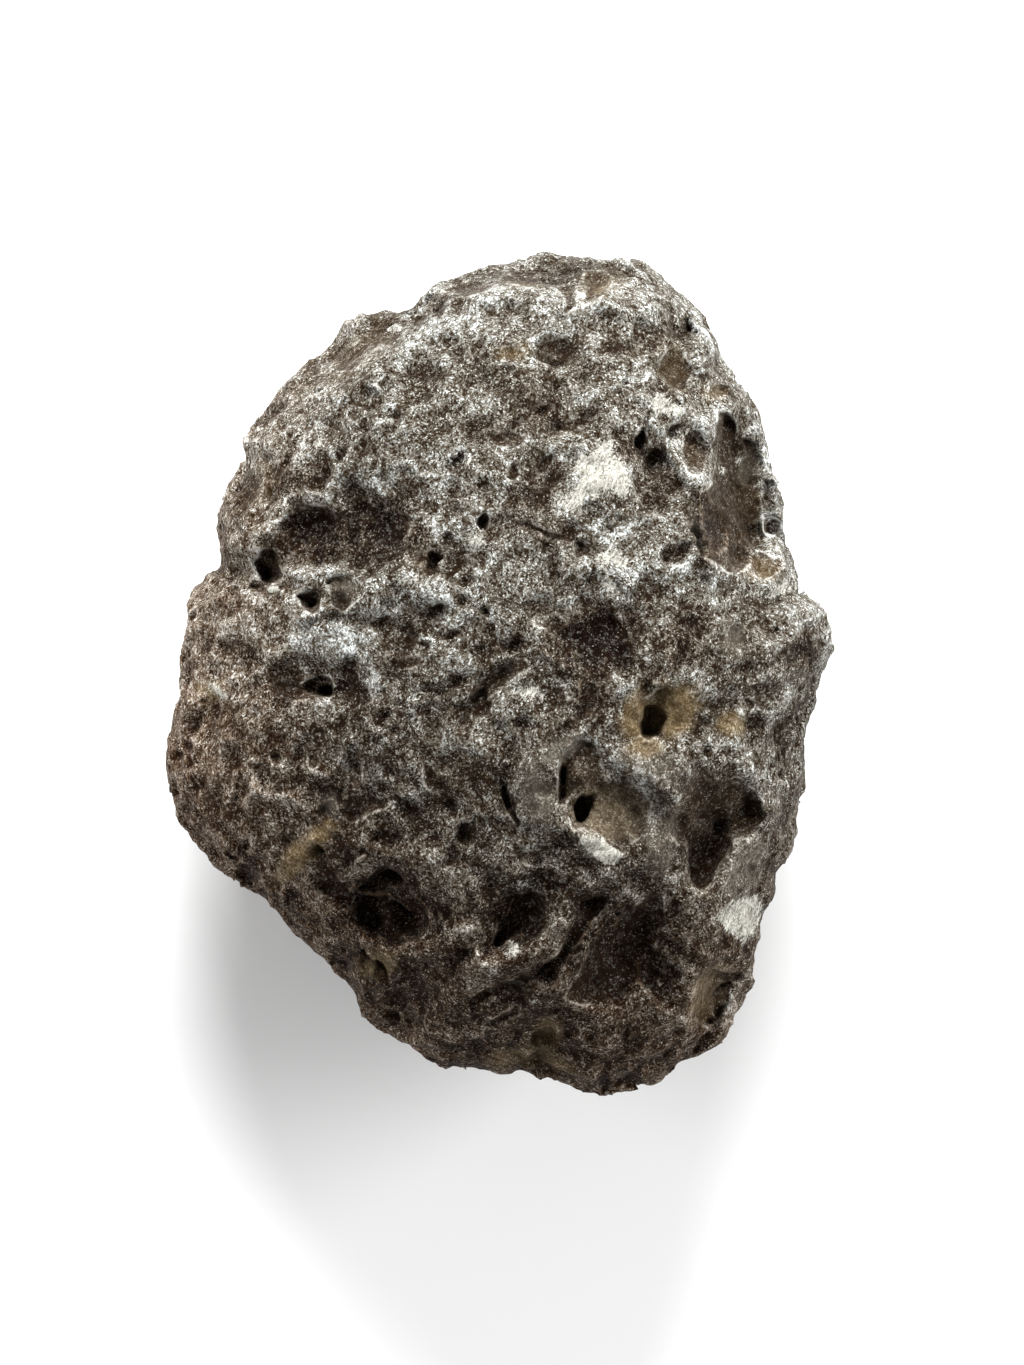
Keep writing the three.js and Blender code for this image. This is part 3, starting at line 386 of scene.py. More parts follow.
# Milky bruises where the glass is crushed: strength, then the edge of each.
BRUISES = (
    (1.0, (4.3, 11.4), (4.9, 12.4), (4.6, 13.4), (5.1, 14.1), (5.9, 14.2), (6.3, 14.9),
     (7.2, 15.1), (7.3, 14.4), (7.9, 13.6), (8.3, 12.5), (8.4, 11.5), (7.8, 10.9), (7.2, 11.6),
     (6.5, 11.2), (5.6, 11.0), (5.2, 10.4), (4.2, 10.2), (3.6, 10.7)),
    (0.8, (5.9, 7.2), (6.6, 7.9), (7.4, 8.2), (8.0, 7.6), (8.6, 6.9), (7.9, 6.5), (7.0, 6.9),
     (6.9, 6.2), (7.7, 5.6), (7.3, 5.0), (6.4, 5.2), (6.8, 6.0), (6.3, 6.6)),
    (2.2, *LOWER_FLAKE),
    (0.9, (13.7, -15.5), (14.5, -14.7), (15.6, -14.2), (16.9, -14.2), (17.0, -15.4),
     (16.5, -16.9), (15.5, -17.4), (14.5, -16.7)),
    (0.8, (-2.3, 8.9), (-1.6, 9.1), (-1.0, 8.8), (-0.9, 8.0), (-1.6, 7.4), (-2.2, 7.9)),
    (0.8, (9.4, 17.9), (10.6, 18.0), (11.3, 17.4), (12.2, 16.8), (11.9, 16.3), (10.9, 16.4),
     (10.2, 16.3), (9.7, 16.8)),
    (0.9, (11.5, 15.6), (12.3, 16.0), (13.1, 16.2), (12.7, 15.8), (12.0, 15.4), (11.6, 14.8),
     (11.3, 14.2), (11.0, 14.7), (11.5, 15.2)),
    (0.9, *SPLINTER),
    (0.8, (14.3, -22.3), (14.8, -22.0), (15.4, -20.6), (15.2, -19.8), (14.7, -20.6),
     (14.3, -21.5)),
    (0.8, (17.0, 5.2), (18.4, 6.3), (19.2, 5.2), (18.4, 5.0), (17.5, 4.6), (15.0, 5.0),
     (14.2, 5.0), (14.6, 5.3), (15.4, 5.4)),
    (1.2, (14.1, 13.2), (14.4, 13.3), (14.6, 12.9), (14.3, 12.7), (14.1, 12.9)),
    (1.0, (15.1, 13.9), (15.7, 13.9), (15.5, 13.4), (15.2, 13.4)),
    (0.9, (-6.9, 5.6), (-6.2, 5.9), (-5.6, 6.4), (-5.1, 6.1), (-4.7, 5.5), (-5.2, 5.6),
     (-5.9, 5.3), (-6.6, 5.3)),
    (0.9, (-12.2, -6.3), (-11.7, -6.3), (-11.5, -6.6), (-11.9, -6.8)),
    (0.9, (13.2, -4.7), (13.9, -4.4), (14.4, -4.1), (15.0, -4.0), (14.6, -4.7), (14.0, -5.1),
     (13.4, -5.1)),
    (1.0, *TONGUE_FLAKE),
    (0.9, (-1.6, -18.7), (-0.9, -18.9), (-0.4, -19.4), (0.2, -19.2), (-0.3, -18.6),
     (-1.0, -18.4)),
    (0.9, (1.9, -20.8), (2.6, -20.9), (2.9, -20.7), (2.5, -21.3), (2.0, -21.2)),
    (1.8, *STRIP),
    (1.0, *LARGE_CRUMB),
    (0.9, *SMALL_CRUMB),
    (0.8, (0.8, -13.3), (1.2, -13.0), (2.2, -13.4), (2.8, -13.9), (1.8, -13.9), (1.0, -13.9)),
    (0.9, (-2.7, 13.7), (-2.0, 14.0), (-1.7, 13.4), (-2.0, 13.0), (-2.4, 13.3)),
    (0.9, (-12.1, 14.9), (-11.6, 15.1), (-11.4, 14.5), (-11.9, 14.2)),
    (0.7, (0.0, -1.3), (1.0, -1.0), (2.0, -0.6), (3.0, -1.0), (3.0, -1.9), (1.9, -1.7),
     (0.9, -1.6)),
    (0.8, (0.8, 12.2), (1.3, 12.1), (1.5, 11.6), (1.1, 11.4)),
    (0.8, (3.8, 7.9), (4.3, 7.5), (4.1, 7.1), (3.8, 7.4)),
    (0.8, (2.5, 6.3), (3.0, 6.2), (3.3, 5.4), (2.8, 5.6)),
    (0.8, (5.0, -4.0), (5.6, -3.4), (5.2, -3.1), (4.9, -3.5)),
    (0.8, (16.9, 8.6), (17.4, 8.5), (18.2, 8.0), (18.3, 7.7), (17.4, 7.7), (16.9, 8.1)),
)

# Where the frost lies thicker, or thinner if below 0; besides the frost itself, these patches also
# paint in light and shade, lighter where light falls and darker where shadow lies: middle, half
# lengths, turn, amount.
FROST_AND_SHADE = (
    (-10.2, 9.0, 4.4, 2.4, 8, -1.0),
    (-6.6, 9.2, 1.8, 2.6, 0, -0.7),
    (1.2, 16.1, 4.0, 1.2, 10, -0.8),
    (5.8, 1.8, 4.0, 2.4, 5, -1.2),
    (5.8, -1.2, 1.8, 1.3, 0, -1.0),
    (11.2, 1.9, 1.8, 1.8, 0, -1.0),
    (19.3, 1.2, 1.3, 1.7, 0, -1.3),
    (-13.6, 17.6, 1.6, 1.4, 40, -0.6),
    (-13.0, -1.8, 1.6, 0.9, 0, -0.6),
    (-4.8, 7.8, 1.2, 1.6, 0, -0.8),
    (-6.6, 1.0, 2.2, 1.1, 0, -0.9),
    (13.2, 9.2, 1.5, 2.4, 0, -1.2),
    (15.2, 11.0, 1.6, 4.6, 8, -0.7),
    (-14.6, -8.8, 2.4, 3.2, 20, 0.5),
    (12.6, 22.6, 2.2, 1.2, -45, 0.6),
    (-5.8, 3.7, 1.6, 0.9, 10, 0.5),
    (0.5, -11.5, 3.6, 2.4, 0, 0.6),
    (7.5, -8.0, 3.4, 3.0, 0, 0.6),
    (9.5, -13.5, 3.0, 1.6, -20, 0.5),
    (15.8, -12.8, 1.6, 2.6, 0, 0.9),
    (16.5, -23.0, 2.5, 3.0, 0, 0.8),
    (-17.0, 11.6, 1.5, 2.0, 0, -0.6),
    (-16.7, 3.7, 1.6, 1.1, 0, -0.5),
    (8.1, 14.0, 1.1, 1.1, 0, -1.0),
    (-7.4, -14.9, 3.2, 2.2, -10, -1.0),
    (8.0, -17.8, 3.0, 2.6, 50, -1.2),
    (1.2, -15.6, 1.6, 1.4, 50, -0.8),
    (5.0, -17.2, 2.2, 0.7, 60, -0.8),
    (13.2, -11.5, 2.4, 1.5, 70, -0.4),
    (-8.0, -19.0, 2.0, 1.1, 0, -0.5),
    (3.5, 25.8, 5.5, 0.9, 0, -0.6),
    (-10.6, 1.9, 2.8, 1.5, 0, 1.0),
    (-6.2, 4.4, 2.6, 0.9, 15, 0.8),
    (-1.6, 7.9, 1.2, 1.2, 0, 0.8),
    (7.2, 9.2, 2.0, 1.4, 0, 0.7),
    (8.7, -7.9, 1.8, 2.2, 0, 1.5),
    (5.0, -12.5, 2.6, 0.9, -20, 0.6),
    (-1.0, -12.8, 1.6, 1.2, 0, 0.6),
    (11.6, -15.4, 2.4, 1.2, 10, 0.6),
    (-13.4, -11.8, 2.4, 1.5, 40, 0.6),
    (18.2, 13.8, 1.3, 4.0, 12, 1.4),
    (15.7, -20.8, 0.9, 2.0, -10, 0.9),
    (-11.5, 16.7, 2.2, 1.8, 0, 0.5),
    (-3.0, 13.0, 1.8, 1.4, 0, 0.5),
    (1.5, -1.5, 2.0, 0.8, 5, 0.6),
    (-15.9, 6.9, 1.0, 1.0, 0, 0.6),
    (11.0, -17.5, 2.2, 2.6, 0, 0.8),
    (14.6, -20.5, 1.2, 2.8, 0, 0.4),
    (10.5, -23.0, 3.0, 1.6, 0, 0.5),
    (17.0, 0.0, 1.6, 3.0, 0, -0.5),
    (12.5, 2.5, 2.4, 2.4, 0, -0.5),
    (2.5, 10.5, 2.6, 2.4, 0, -0.7),
    (2.5, 18.0, 2.6, 1.8, 0, -0.5),
    (-9.5, 3.0, 2.4, 1.8, 0, 0.3),
    (4.6, 11.2, 1.4, 1.6, 0, 1.0),
    (7.3, 7.0, 1.1, 1.2, 0, 0.4),
    (16.3, -6.0, 1.8, 3.0, 0, 0.3),
)

# Places where the glass lets brown light through: the same, with the strength last.
AMBERS = (
    (1.5, 25.6, 2.4, 1.1, 0, 0.4),
    (6.3, 25.3, 2.0, 1.2, 0, 0.4),
    (-2.2, 25.0, 1.4, 0.7, 30, 0.35),
    (-9.0, 20.9, 3.2, 1.2, 38, 0.35),
    (0.9, 20.5, 1.2, 0.7, 0, 0.4),
    (11.2, -2.3, 1.9, 1.6, 80, 1.0),
    (8.6, -2.8, 2.0, 0.9, 80, 0.8),
    (9.3, -4.7, 1.4, 0.7, 0, 0.7),
    (14.8, -3.2, 1.0, 0.9, 0, 0.9),
    (17.3, 6.7, 1.5, 0.9, 0, 0.45),
    (13.8, 18.0, 1.0, 0.7, 0, 0.3),
    (-12.4, -11.3, 2.8, 0.8, 45, 0.9),
    (-18.6, -1.2, 1.2, 0.8, 0, 0.6),
    (2.9, -23.4, 1.4, 1.0, 60, 0.5),
    (1.5, -25.2, 3.4, 1.1, 0, 0.6),
    (11.1, 19.6, 1.7, 1.2, 100, 0.2),
    (15.2, 11.2, 4.8, 1.8, 100, 0.1),
    (-16.2, 12.2, 2.2, 1.8, 60, 0.15),
    (-7.9, -18.8, 1.6, 1.0, 10, 0.4),
    (6.9, -8.9, 2.6, 1.8, 0, 0.35),
    (13.6, -20.6, 2.2, 1.4, 60, 0.4),
)

# Satin patches with little grain: middle, half lengths, turn and strength.
SATINS = (
    (3.7, -5.1, 1.9, 0.7, 35, 0.8),
    (2.3, -7.8, 2.3, 1.1, 100, 0.8),
    (9.8, -6.1, 2.8, 1.5, -20, 0.55),
    (7.4, -9.0, 2.2, 1.8, 0, 0.5),
    (10.3, -10.2, 3.4, 1.1, 85, 0.5),
    (15.7, -12.6, 2.6, 1.3, 75, 0.6),
    (16.2, 13.4, 1.6, 0.8, 60, 0.7),
    (14.8, 2.2, 1.4, 0.9, 100, 0.6),
    (12.5, 9.0, 1.3, 0.6, 100, 0.6),
    (15.7, 17.8, 1.0, 0.8, 0, 0.4),
    (-9.9, 5.8, 1.2, 1.1, 0, 0.5),
    (-11.0, -8.4, 0.7, 0.8, 0, 0.6),
)

# Lumps underneath that the stone stands on: x, y, radius, centre below the girdle.
FEET = (
    (-8.6, -8.4, 6.0, 7.4),
    (8.2, -11.2, 6.2, 7.3),
    (-7.4, 11.6, 6.0, 7.4),
    (8.6, 8.8, 5.8, 7.7),
)

# Deep holes that go in under their rims: x, y, half length, half width, depth, turn, and how
# far their bottoms lie off to one side, (x, y).
HOLES = (
    (5.1, -8.7, 1.0, 0.8, 1.9, 70, -0.2, 0.1),
    (4.05, -7.1, 1.2, 0.35, 1.4, 85, -0.2, 0.0),
    (-6.1, -15.7, 1.7, 0.95, 1.4, -20, 0.2, 0.2),
    (-8.2, -14.7, 0.9, 0.5, 0.8, -30, 0.2, 0.2),
    (-6.9, -12.95, 1.05, 0.55, 1.3, 10, 0.0, 0.5),
    (-7.8, -18.8, 1.1, 0.5, 0.8, -5, 0.0, 0.3),
    (2.8, -23.5, 1.2, 0.75, 0.7, 60, 0.0, 0.0),
    (-4.35, 7.15, 0.85, 0.5, 0.5, 100, 0.0, 0.0),
    (-3.9, 4.05, 0.4, 0.32, 0.45, 0, 0.0, 0.0),
    (-16.1, -10.8, 0.5, 0.25, 0.5, 80, 0.0, 0.0),
    (-11.65, -11.2, 0.3, 0.22, 0.4, 40, 0.0, 0.0),
    (12.3, -12.6, 0.7, 0.4, 0.8, 80, -0.2, 0.0),
    (-12.2, 4.4, 0.7, 0.5, 0.7, 0, 0.0, -0.1),
    (-11.5, -1.05, 0.9, 0.5, 1.2, 0, 0.0, 0.3),
    (-1.15, 9.55, 0.55, 0.42, 0.7, 80, 0.0, 0.0),
    (11.1, 15.55, 0.5, 0.28, 0.9, 35, 0.0, 0.2),
    (-0.1, -17.2, 1.2, 0.32, 1.1, 62, -0.2, 0.1),
    (3.1, -18.9, 0.6, 0.35, 1.0, 50, -0.1, 0.2),
    (5.8, -15.2, 0.6, 0.35, 0.5, 10, 0.0, 0.2),
    (0.35, -8.2, 0.9, 0.3, 1.1, 100, -0.1, 0.0),
    (13.0, 8.7, 1.0, 0.5, 1.2, 100, -0.2, 0.0),
    (17.3, 9.4, 0.75, 0.5, 0.9, 60, -0.1, 0.0),
    (9.0, 15.0, 0.7, 0.22, 0.7, 80, 0.0, 0.0),
    (-2.1, -10.2, 0.7, 0.35, 0.5, 85, -0.3, 0.0),
    (3.4, 19.8, 0.6, 0.3, 0.4, 0, 0.0, -0.2),
)

# ------------------------------------------------------------------ the stone's other sizes, mm

CROWN_FULLNESS = 2.35  # 2 is an ellipse, more is boxier
KEEL_FULLNESS = 2.45
GIRDLE_LEAN = (0.035, -0.03)  # how it climbs along x and y
GIRDLE_WAVE = 0.9
FOOT_FLARE = 3.5

# Dimples around the sides and underneath, between two heights from 1 at the top to -1 below.
DIMPLES = 44
DIMPLE_HEIGHTS = (-0.2, -0.88)
DIMPLE_SIZE = (1.9, 4.2)
DIMPLE_SINK = 0.22
DIMPLE_LIP = 1.8

# Waves that the drawn edges follow: spacing, height, then the seeds for x and for y.
EDGE_WAVES = ((2.2, 0.05, (11, 12)), (0.75, 0.06, (13, 14)), (0.36, 0.05, (16, 17)))
BROAD_WAVE = 0.3  # height of the slowest of them in the broad hollows and folds
BROKEN_RIMS = (0.75, 0.35, 1.4, 15)  # mean strength of a rim, its swing, spacing and seed
HOLLOW_SHARE = 0.72  # of their depth, which leaves room for the basins
FOLD_SHARE = 0.8
CROWDING = 0.55  # how much shallower a basin is where a broad hollow is already deep
CLEAR_DEPTH = 0.75  # basins deeper than this, or with a steeper wall, show bare glass
CLEAR_WALL = 1
WORN_DEPTH = 0.6  # from here on a basin has lost most of its frost
WORN_SHARE = 0.75
RIM_LIP = 0.09  # how far a basin's rim stands up
RIM_WIDTH = 0.3
FULL_BASIN = 0.7  # the depth from which a basin's rim shows in full
FULL_PLATE = 0.35
SCOOPS = 420
SCOOP_SIZE = (0.3, 0.95)
SCOOP_CORNERS = 8
SCOOP_DEPTH = (0.35, 0.65)  # times its size
SCOOP_LENGTH = (1.0, 1.8)

# Small holes with uneven shapes: how many, between which heights, their least and greatest half
# width, and the most that their length and depth are times that.
PORES = (50, (0.7, 0.15), (0.18, 0.42), 2.0, 1.1)
SIDE_PITS = (90, (0.08, -0.75), (0.5, 1.5), 1.7, 0.9)
HOLE_EDGE = 0.15  # how wide a hole's edge is rounded

# Room left around the pebble in the block of samples.
SIDE_ROOM = 1.2
LOW_ROOM = 1.0
HIGH_ROOM = 2.5

# Scallops all over: size of their cells, seed, depth, and share in the mask of their hollows.
SCALLOPS = (
    (3.4, 51, 0.42, 0.2), (1.8, 52, 0.40, 0.45), (0.95, 53, 0.26, 0.35), (0.55, 54, 0.13, 0),
)
SCALLOPS_MEAN = 0.56
ETCHED_LAYER = 1.1

# Radii within which the share of glass is measured, to tell ridges from hollows.
CLOSE, WIDE, BROAD = 0.45, 1.6, 3.6

GOLDEN_ANGLE = math.pi * (3 - math.sqrt(5))
GOLDEN_SHARE = 0.618034
MOST_TRIANGLES = 192_000


# ------------------------------------------------------------------ small maths


def smoothstep(x, low, high):
    t = np.clip((x - low) / (high - low), 0, 1)
    return t * t * (3 - 2 * t)


def smooth_max(a, b, width):
    """The larger of two distances, with the corner between them rounded over a width."""
    overlap = np.maximum(width - np.abs(a - b), 0) / width
    return np.maximum(a, b) + overlap * overlap * (width * 0.25)


def turned(x, y, turn):
    """Coordinates along and across a line at a turn in degrees."""
    c, s = math.cos(math.radians(turn)), math.sin(math.radians(turn))
    return x * c + y * s, y * c - x * s


def trace_outline(points, steps=12):
    """The closed smooth curve through the points, as angles and radii sorted by angle."""
    p = np.array(points)
    before, after, beyond = np.roll(p, 1, 0), np.roll(p, -1, 0), np.roll(p, -2, 0)
    t = (np.arange(steps) / steps)[None, :, None]
    a, b, c, d = (q[:, None, :] for q in (before, p, after, beyond))
    curve = 0.5 * (2 * b + (c - a) * t + (2 * a - 5 * b + 4 * c - d) * t**2
                   + (3 * b - a - 3 * c + d) * t**3)
    curve = curve.reshape(-1, 2)
    angle = np.arctan2(curve[:, 1], curve[:, 0])
    order = np.argsort(angle)
    return angle[order], np.hypot(curve[:, 0], curve[:, 1])[order]


def distance_to_line(x, y, line):
    nearest = np.full(np.broadcast(x, y).shape, np.inf, np.float32)
    for (ax, ay), (bx, by) in zip(line, line[1:]):
        dx, dy = bx - ax, by - ay
        t = np.clip(((x - ax) * dx + (y - ay) * dy) / (dx * dx + dy * dy), 0, 1)
        nearest = np.minimum(nearest, np.hypot(x - ax - t * dx, y - ay - t * dy))
    return nearest


def depth_inside(x, y, edge):
    """Distance from a closed edge in plan: above 0 inside it and below 0 outside."""
    ring = (*edge, edge[0])
    inside = np.zeros(np.broadcast(x, y).shape, bool)
    for (ax, ay), (bx, by) in zip(ring, ring[1:]):
        if ay != by:
            inside ^= ((ay > y) != (by > y)) & (x < ax + (y - ay) * (bx - ax) / (by - ay))
    away = distance_to_line(x, y, ring)
    return np.where(inside, away, -away)


def ellipse_weight(x, y, cx, cy, a, b, turn):
    """1 in the middle of an ellipse and 0 outside it."""
    u, v = turned(x - cx, y - cy, turn)
    return np.maximum(0, 1 - (u / a) ** 2 - (v / b) ** 2) ** 1.5


def spline_weights(places, low, spacing, count):
    """Cubic B-spline weights of evenly spaced knots at the given places."""
    u = (places - low) / spacing
    away = np.abs(u[:, None] - np.arange(count)[None, :] + 1)
    near = (4 - 6 * away**2 + 3 * away**3) / 6
    far = (2 - away) ** 3 / 6
    return np.where(away < 1, near, np.where(away < 2, far, 0)).astype(np.float32)


def box_blur(values, reach, axis):
    """Mean over a box of samples along one axis."""
    width = 2 * reach + 1
    pad = [(0, 0)] * 3
    pad[axis] = (reach + 1, reach)
    total = np.cumsum(np.pad(values, pad, mode="edge"), axis=axis, dtype=np.float32)
    low = np.take(total, range(0, total.shape[axis] - width), axis)
    high = np.take(total, range(width, total.shape[axis]), axis)
    return (high - low) / width


def corner_weights(fraction):
    """The eight corners of a cell, each with its weight at points inside the cell."""
    for corner in np.ndindex(2, 2, 2):
        parts = [fraction[:, i] if c else 1 - fraction[:, i] for i, c in enumerate(corner)]
        yield np.array(corner), parts[0] * parts[1] * parts[2]


def grain(points, spacing, rng):
    """Smooth random values, from -1 to 1, at scattered points."""
    cells = 64
    table = rng.uniform(-1, 1, (cells, cells, cells)).astype(np.float32)
    place = points / spacing
    home = np.floor(place).astype(int)
    f = (place - home).astype(np.float32)
    total = 0
    for corner, weight in corner_weights(f * f * (3 - 2 * f)):
        total = total + weight * table[tuple(((home + corner) % cells).T)]
    return total


def scallops(points, cell, seed):
    """Depth, from 0 to 1, of round scoops that meet in sharp crests all over."""
    rng = np.random.default_rng(seed)
    cells = 32
    table = rng.uniform(0, 1, (cells, cells, cells, 4)).astype(np.float32)
    home = np.floor(points / cell).astype(np.int32)
    deepest = np.zeros(len(points), np.float32)
    for step in np.ndindex(3, 3, 3):
        there = home + (np.array(step, np.int32) - 1)
        pick = table[tuple((there % cells).T)]
        centre = (there + pick[:, :3]) * cell
        reach = cell * (0.45 + 0.5 * pick[:, 3])
        away = ((points - centre) ** 2).sum(1)
        deepest = np.maximum(deepest, 1 - away / reach**2)
    return deepest


def spiral(count, heights):
    """Directions spread evenly around the stone between two heights."""
    top, low = heights
    for i in range(count):
        height = top + (low - top) * (i + 0.5) / count
        level = math.sqrt(1 - height * height)
        angle = i * GOLDEN_ANGLE
        yield i, np.array((math.cos(angle) * level, math.sin(angle) * level, height))


class Block:
    """A regular block of sample points around the stone."""

    def __init__(self, low, high, step):
        self.low = np.array(low, np.float32)
        self.step = step
        self.axes = [np.arange(l, h, step, dtype=np.float32) for l, h in zip(low, high)]
        self.x, self.y, self.z = np.meshgrid(*self.axes, indexing="ij", sparse=True)

    def drift(self, spacing, seed, plan=False):
        """Smooth random values with waves about as long as twice the spacing."""
        rng = np.random.default_rng(seed)
        axes = self.axes[:2] if plan else self.axes
        counts = [int((a[-1] - a[0]) / spacing) + 4 for a in axes]
        values = rng.uniform(-1, 1, counts).astype(np.float32)
        for axis, count in zip(axes, counts):
            weights = spline_weights(axis, axis[0], spacing, count)
            values = np.tensordot(values, weights, (0, 1))
        return values / values.std()

    def around(self, centre, reach):
        """Slices of the block within a reach of a point."""
        cuts = []
        for axis, c in zip(self.axes, centre):
            low = max(int((c - reach - axis[0]) / self.step), 0)
            cuts.append(slice(low, max(int((c + reach - axis[0]) / self.step) + 2, 1)))
        return tuple(cuts)

    def part(self, cut):
        """Coordinates of the samples in a part of the block."""
        return self.x[cut[0]], self.y[:, cut[1]], self.z[:, :, cut[2]]


# ------------------------------------------------------------------ the stone's form


class Pebble:
    """The smooth pebble, before anything was etched into it."""

    def __init__(self, crown, keel):
        self.crown = crown
        self.keel = keel
        self.angles, self.radii = trace_outline(OUTLINE)

    def girdle(self, x, y):
        """Height of the widest section."""
        wave = GIRDLE_WAVE * np.sin(0.11 * x + 0.5) * np.cos(0.09 * y)
        return GIRDLE_LEAN[0] * x + GIRDLE_LEAN[1] * y + wave

    def __call__(self, x, y, z):
        """How far a point lies outside, measured from the middle."""
        edge = np.interp(np.arctan2(y, x), self.angles, self.radii, period=2 * math.pi)
        across = np.hypot(x, y) / edge
        rise = z - self.girdle(x, y)
        reach = np.where(rise > 0, self.crown, self.keel)
        fullness = np.where(rise > 0, CROWN_FULLNESS, KEEL_FULLNESS)
        total = across**fullness + (np.abs(rise) / reach) ** fullness
        gauge = np.maximum(total ** (1 / fullness), 0.05)
        return np.sqrt(x * x + y * y + z * z) * (1 - 1 / gauge)

    def facing(self, place, h=0.2):
        """The way its surface faces at a place."""
        slope = np.array([self(*(place + way)) - self(*(place - way)) for way in np.eye(3) * h])
        return slope / np.linalg.norm(slope)

    def cast_out(self, direction):
        """Where a ray from the middle leaves it."""
        inside, outside = 2.0, 45.0
        for _ in range(32):
            r = (inside + outside) / 2
            if self(*(direction * r)) < 0:
                inside = r
            else:
                outside = r
        return direction * r


def swell(x, y, z):
    """Slow swell of the sides and the underside."""
    a = np.sin(0.42 * x + 0.9) * np.sin(0.37 * y + 2.1)
    b = np.sin(0.29 * y + 0.55 * z + 0.4) * np.sin(0.31 * x - 0.4 * z)
    return 0.55 * a + 0.6 * b


def spread_dimples(pebble):
    """Centres and radii of the dimples around the sides and underneath."""
    for i, direction in spiral(DIMPLES, DIMPLE_HEIGHTS):
        share = (i * GOLDEN_SHARE) % 1
        radius = DIMPLE_SIZE[0] + (DIMPLE_SIZE[1] - DIMPLE_SIZE[0]) * share * share
        yield pebble.cast_out(direction) + direction * radius * (1 - 2 * DIMPLE_SINK), radius


class Relief:
    """What the upper face loses and gains, on a grid in plan."""

    def __init__(self, block):
        self.block = block
        self.x, self.y = x, y = block.x[:, :, 0], block.y[:, :, 0]
        waves = [[block.drift(spacing, seed, plan=True) for seed in seeds]
                 for spacing, _, seeds in EDGE_WAVES]
        for (_, height, _), (along, up) in zip(EDGE_WAVES, waves):
            self.x = self.x + height * along
            self.y = self.y + height * up
        mean, swing, spacing, seed = BROKEN_RIMS
        self.broken = mean + swing * block.drift(spacing, seed, plan=True)
        along, up = waves[0]
        self.sunk = self.broad(x + BROAD_WAVE * along, y + BROAD_WAVE * up)
        self.room = 1 - CROWDING * smoothstep(self.sunk, 0.3, 2.0)
        self.basin = np.full_like(self.sunk, -1)
        self.edge = np.ones_like(self.sunk)
        self.bare = np.zeros_like(self.sunk)
        for row in BASINS:
            depth, wall = row[:2]
            cut, inside, _ = self.shape(1, *row)
            if depth > CLEAR_DEPTH or wall < CLEAR_WALL:
                self.basin[cut] = np.maximum(self.basin[cut], inside)
            deep, far_in = min(depth / WORN_DEPTH, 1), np.clip(inside / WORN_DEPTH, 0, 1)
            self.wear(cut, deep * far_in * WORN_SHARE)
            self.line(cut, inside, depth / FULL_BASIN)
        for row in PLATES:
            cut, inside, _ = self.shape(-1, *row)
            self.line(cut, inside, row[0] / FULL_PLATE)
        self.scoop_between()

    def broad(self, x, y):
        """The broad hollows and the folds."""
        sunk = np.zeros(x.shape, np.float32)
        for cx, cy, a, b, depth, turn in HOLLOWS:
            sunk += HOLLOW_SHARE * depth * ellipse_weight(x, y, cx, cy, a, b, turn)
        for height, width, *line in FOLDS:
            sunk -= FOLD_SHARE * height * np.exp(-((distance_to_line(x, y, line) / width) ** 2))
        return sunk

    def shape(self, sign, depth, wall, way, tilt, *edge):
        """Cuts a basin, or with a sign of -1 raises a plate."""
        corners = np.array(edge)
        middle = (corners.min(0) + corners.max(0)) / 2
        reach = np.hypot(*(corners - middle).T).max()
        cut = self.block.around((*middle, 0), reach + 1.2)[:2]
        x, y = self.x[cut], self.y[cut]
        inside = depth_inside(x, y, edge)
        along = turned(x - middle[0], y - middle[1], way)[0] / reach
        share = 1 - tilt * np.clip(1 - along, 0, 2) / 2
        fall = np.clip(inside / wall, 0, 1)
        profile = share * np.sqrt(1 - (1 - fall) ** 2)
        if sign > 0:
            profile = profile * self.room[cut]
            height = RIM_LIP * min(depth / FULL_BASIN, 1)
            lip = height * share * np.exp(-((inside / RIM_WIDTH) ** 2))
            self.sunk[cut] -= lip * self.broken[cut]
        self.sunk[cut] += sign * depth * profile
        return cut, inside, profile

    def wear(self, cut, amount):
        """Notes where little frost is left."""
        self.bare[cut] = np.maximum(self.bare[cut], amount)

    def line(self, cut, inside, strength):
        """Notes where an edge runs, less where it is broken or weak."""
        weak = 1 - np.clip(min(strength, 1) * self.broken[cut], 0, 1)
        self.edge[cut] = np.minimum(self.edge[cut], np.abs(inside) + 0.5 * weak)

    def scoop_between(self):
        """Small shallow scoops scattered over what the basins leave."""
        rng = np.random.default_rng(81)
        reach = np.abs(np.array(OUTLINE)).max(0)
        for _ in range(SCOOPS):
            middle = rng.uniform(-reach, reach)
            size = SCOOP_SIZE[0] + (SCOOP_SIZE[1] - SCOOP_SIZE[0]) * rng.random() ** 1.7
            turn, long = rng.uniform(0, math.pi), rng.uniform(*SCOOP_LENGTH)
            corners = np.arange(SCOOP_CORNERS)
            around = corners * math.tau / SCOOP_CORNERS + rng.uniform(-0.25, 0.25, len(corners))
            away = size * rng.uniform(0.7, 1.15, len(corners))
            u, v = away * long * np.cos(around), away * np.sin(around)
            c, s = math.cos(turn), math.sin(turn)
            edge = np.stack((c * u - s * v, s * u + c * v), 1) + middle
            depth = size * rng.uniform(*SCOOP_DEPTH)
            spot = (middle - self.block.low[:2]) / self.block.step
            if self.basin[tuple(spot.astype(int))] < -0.15:
                way, tilt = rng.uniform(0, 360), rng.uniform(0.2, 0.7)
                cut, _, share = self.shape(1, depth, 0.8 * size, way, tilt, *edge)
                self.wear(cut, share)

    def at(self, values, points):
        """Values of the grid at points between its samples."""
        block = self.block
        place = (points[:, :2] - block.low[:2]) / block.step
        home = np.clip(place.astype(int), 0, np.array(values.shape) - 2)
        fx, fy = (place - home).T
        i, j = home.T
        low = values[i, j] * (1 - fx) + values[i + 1, j] * fx
        high = values[i, j + 1] * (1 - fx) + values[i + 1, j + 1] * fx
        return low * (1 - fy) + high * fy


